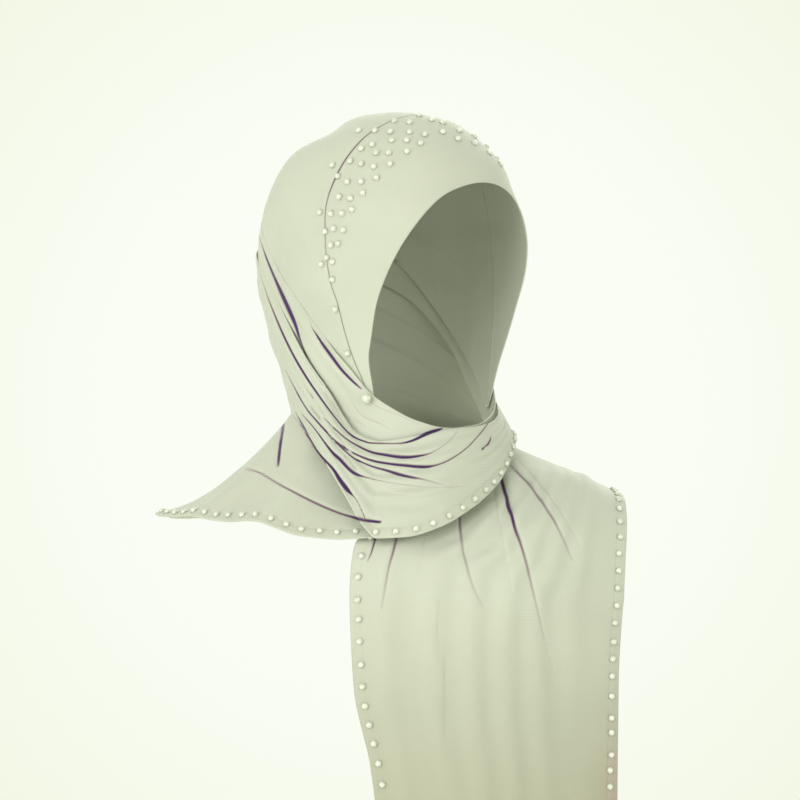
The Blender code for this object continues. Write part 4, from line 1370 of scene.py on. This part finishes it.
@dataclass
class CheekPin:
    """Pearl headed pin at the corner of the face opening."""

    segments: int = 40
    rings: int = 22
    collar: float = 2.1

    def build(self, finishes: list) -> bpy.types.Object:
        """Turn the head, its collar and the stub of the shank round one line."""
        low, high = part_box("cheek_pin")
        centre = (np.array(low) + np.array(high)) / 2 / MM
        radius = float(high[0] - low[0]) / 2 / MM
        outward = FORM.normal(centre[None])[0]
        angles = np.linspace(0.0, 0.82 * math.pi, self.rings)
        profile = [(radius * math.sin(a), radius * math.cos(a), 0) for a in angles[1:]]
        foot = profile[-1][1]
        below = ((self.collar, 0.0), (self.collar, 0.5), (0.5, 0.6), (0.45, 1.6))
        profile += [(size, foot - drop, 1) for size, drop in below]
        points, faces, kinds = [np.array([[0.0, 0.0, radius]])], [], []
        for ring, (size, height, kind) in enumerate(profile):
            points.append(circle(size, height, self.segments))
            above, low = 1 + (ring - 1) * self.segments, 1 + ring * self.segments
            for k in range(self.segments):
                after = (k + 1) % self.segments
                band = (above + k, low + k, low + after, above + after)
                faces.append(band if ring else (0, low + k, low + after))
                kinds.append(kind)
        last = 1 + (len(profile) - 1) * self.segments
        faces.append(tuple(last + k for k in range(self.segments - 1, -1, -1)))
        kinds.append(1)
        turn = np.array(Vector(outward).to_track_quat("Z", "Y").to_matrix())
        item = mesh_object("pin_head", np.vstack(points) @ turn.T + centre, faces, finishes)
        item.data.polygons.foreach_set("material_index", np.array(kinds, np.int32))
        item.data.set_sharp_from_angle(angle=math.radians(40.0))
        return item


@dataclass
class Studio:
    """Pale floor, soft lights and the camera at the photograph's angle."""

    floor_height: float = -1.0
    floor_radius: float = 2.4
    floor_corners: int = 96
    centre: tuple = (0.955, 0.985, 0.905, 1.0)
    edge: tuple = (0.885, 0.925, 0.775, 1.0)
    floor: tuple = (0.80, 0.83, 0.74, 1.0)
    # Soft lights: name, place, aim, size, power
    lights: tuple = (
        ("key", (-1.1, -2.3, 0.75), (0.0, 0.0, -0.20), 1.1, 24.0),
        ("fill", (1.5, -1.9, 0.0), (0.0, 0.0, -0.25), 1.8, 14.0),
        ("low", (-1.7, -1.3, -0.5), (-0.1, 0.0, -0.28), 1.0, 12.0),
        ("behind", (0.4, 2.2, 1.0), (0.0, 0.0, -0.2), 1.6, 14.0),
    )

    def camera(self) -> None:
        """Place the camera level with the cowl."""
        data = bpy.data.cameras.new("camera")
        item = bpy.data.objects.new("camera", data)
        bpy.context.scene.collection.objects.link(item)
        item.location = VIEW_POINT * MM
        item.rotation_euler = (math.radians(90.0), 0.0, 0.0)
        data.sensor_width = 36.0
        data.lens = data.sensor_width * -VIEW_POINT[1] * MM / VIEW_WIDTH
        bpy.context.scene.camera = item

    def lamp(self, name: str, place: tuple, aim: tuple, size: float, power: float) -> None:
        """Add one soft light."""
        data = bpy.data.lights.new(name, "AREA")
        data.energy, data.size = power, size
        data.color = (1.0, 0.99, 0.95)
        item = bpy.data.objects.new(name, data)
        item.location = place
        item.rotation_euler = (Vector(aim) - Vector(place)).to_track_quat("-Z", "Y").to_euler()
        bpy.context.scene.collection.objects.link(item)

    def backdrop(self) -> None:
        """Pale surround, whitest straight ahead of the camera's place."""
        world = bpy.data.worlds.new("surround")
        bpy.context.scene.world = world
        world.use_nodes = True
        nodes = NodeKit(world.node_tree)
        shader = nodes.tree.nodes["Background"]
        place = nodes.add("ShaderNodeTexCoord").outputs["Generated"]
        split = nodes.add("ShaderNodeSeparateXYZ", Vector=place)
        colour = nodes.blend(nodes.ramp(split.outputs["Y"], 0.974, 0.9995), self.edge, self.centre)
        nodes.tree.links.new(colour, shader.inputs["Color"])

    def build(self) -> None:
        """Set up everything round the scarf."""
        rim = circle(self.floor_radius / MM, self.floor_height / MM, self.floor_corners)
        pale = HardFinish("floor", self.floor, tuple(0.97 * c for c in self.floor), 0.8, 0.0, scale=3.0)
        mesh_object("floor", rim, [tuple(range(self.floor_corners))], [pale.material()])
        for light in self.lights:
            self.lamp(*light)
        self.backdrop()
        self.camera()
        view = bpy.context.scene.view_settings
        view.view_transform, view.look, view.exposure, view.gamma = "Standard", "None", 0.0, 1.0


def hem_beads(beads: Beads, cloths: dict) -> dict:
    """Seat the beads of every trimmed hem."""
    found = {}
    for piece, edge, *spacing in HEM_BEADS:
        found[piece] = found.get(piece, []) + beads.along(cloths[piece], edge, *spacing)
    return found


def main() -> None:
    """Dress the frame piece by piece and set up the studio."""
    logging.basicConfig(level=logging.INFO, format="%(message)s")
    jersey = JerseyFinish().material()
    head, neck, cape = HeadCover(), NeckWraps(), Cape()
    cloths = [head.band(), head.hood(), neck.chin(), neck.cowl(), cape.shoulder(), cape.back()]
    cloths.append(FrontPanel().sheet())
    for cloth in cloths:
        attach(cloth.build(jersey), BODY)
        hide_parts(cloth.piece.value)
    by_piece = {cloth.piece: cloth for cloth in cloths}
    beads = Beads()
    places = {**beads.scattered(by_piece), **hem_beads(beads, by_piece)}
    for piece, spots in places.items():
        if spots:
            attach(beads.join(piece.value + "_beads", spots), BODY)
    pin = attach(CheekPin().build(beads.finishes), BODY)
    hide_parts("cheek_pin")
    Studio().build()


if __name__ == "__main__":
    main()
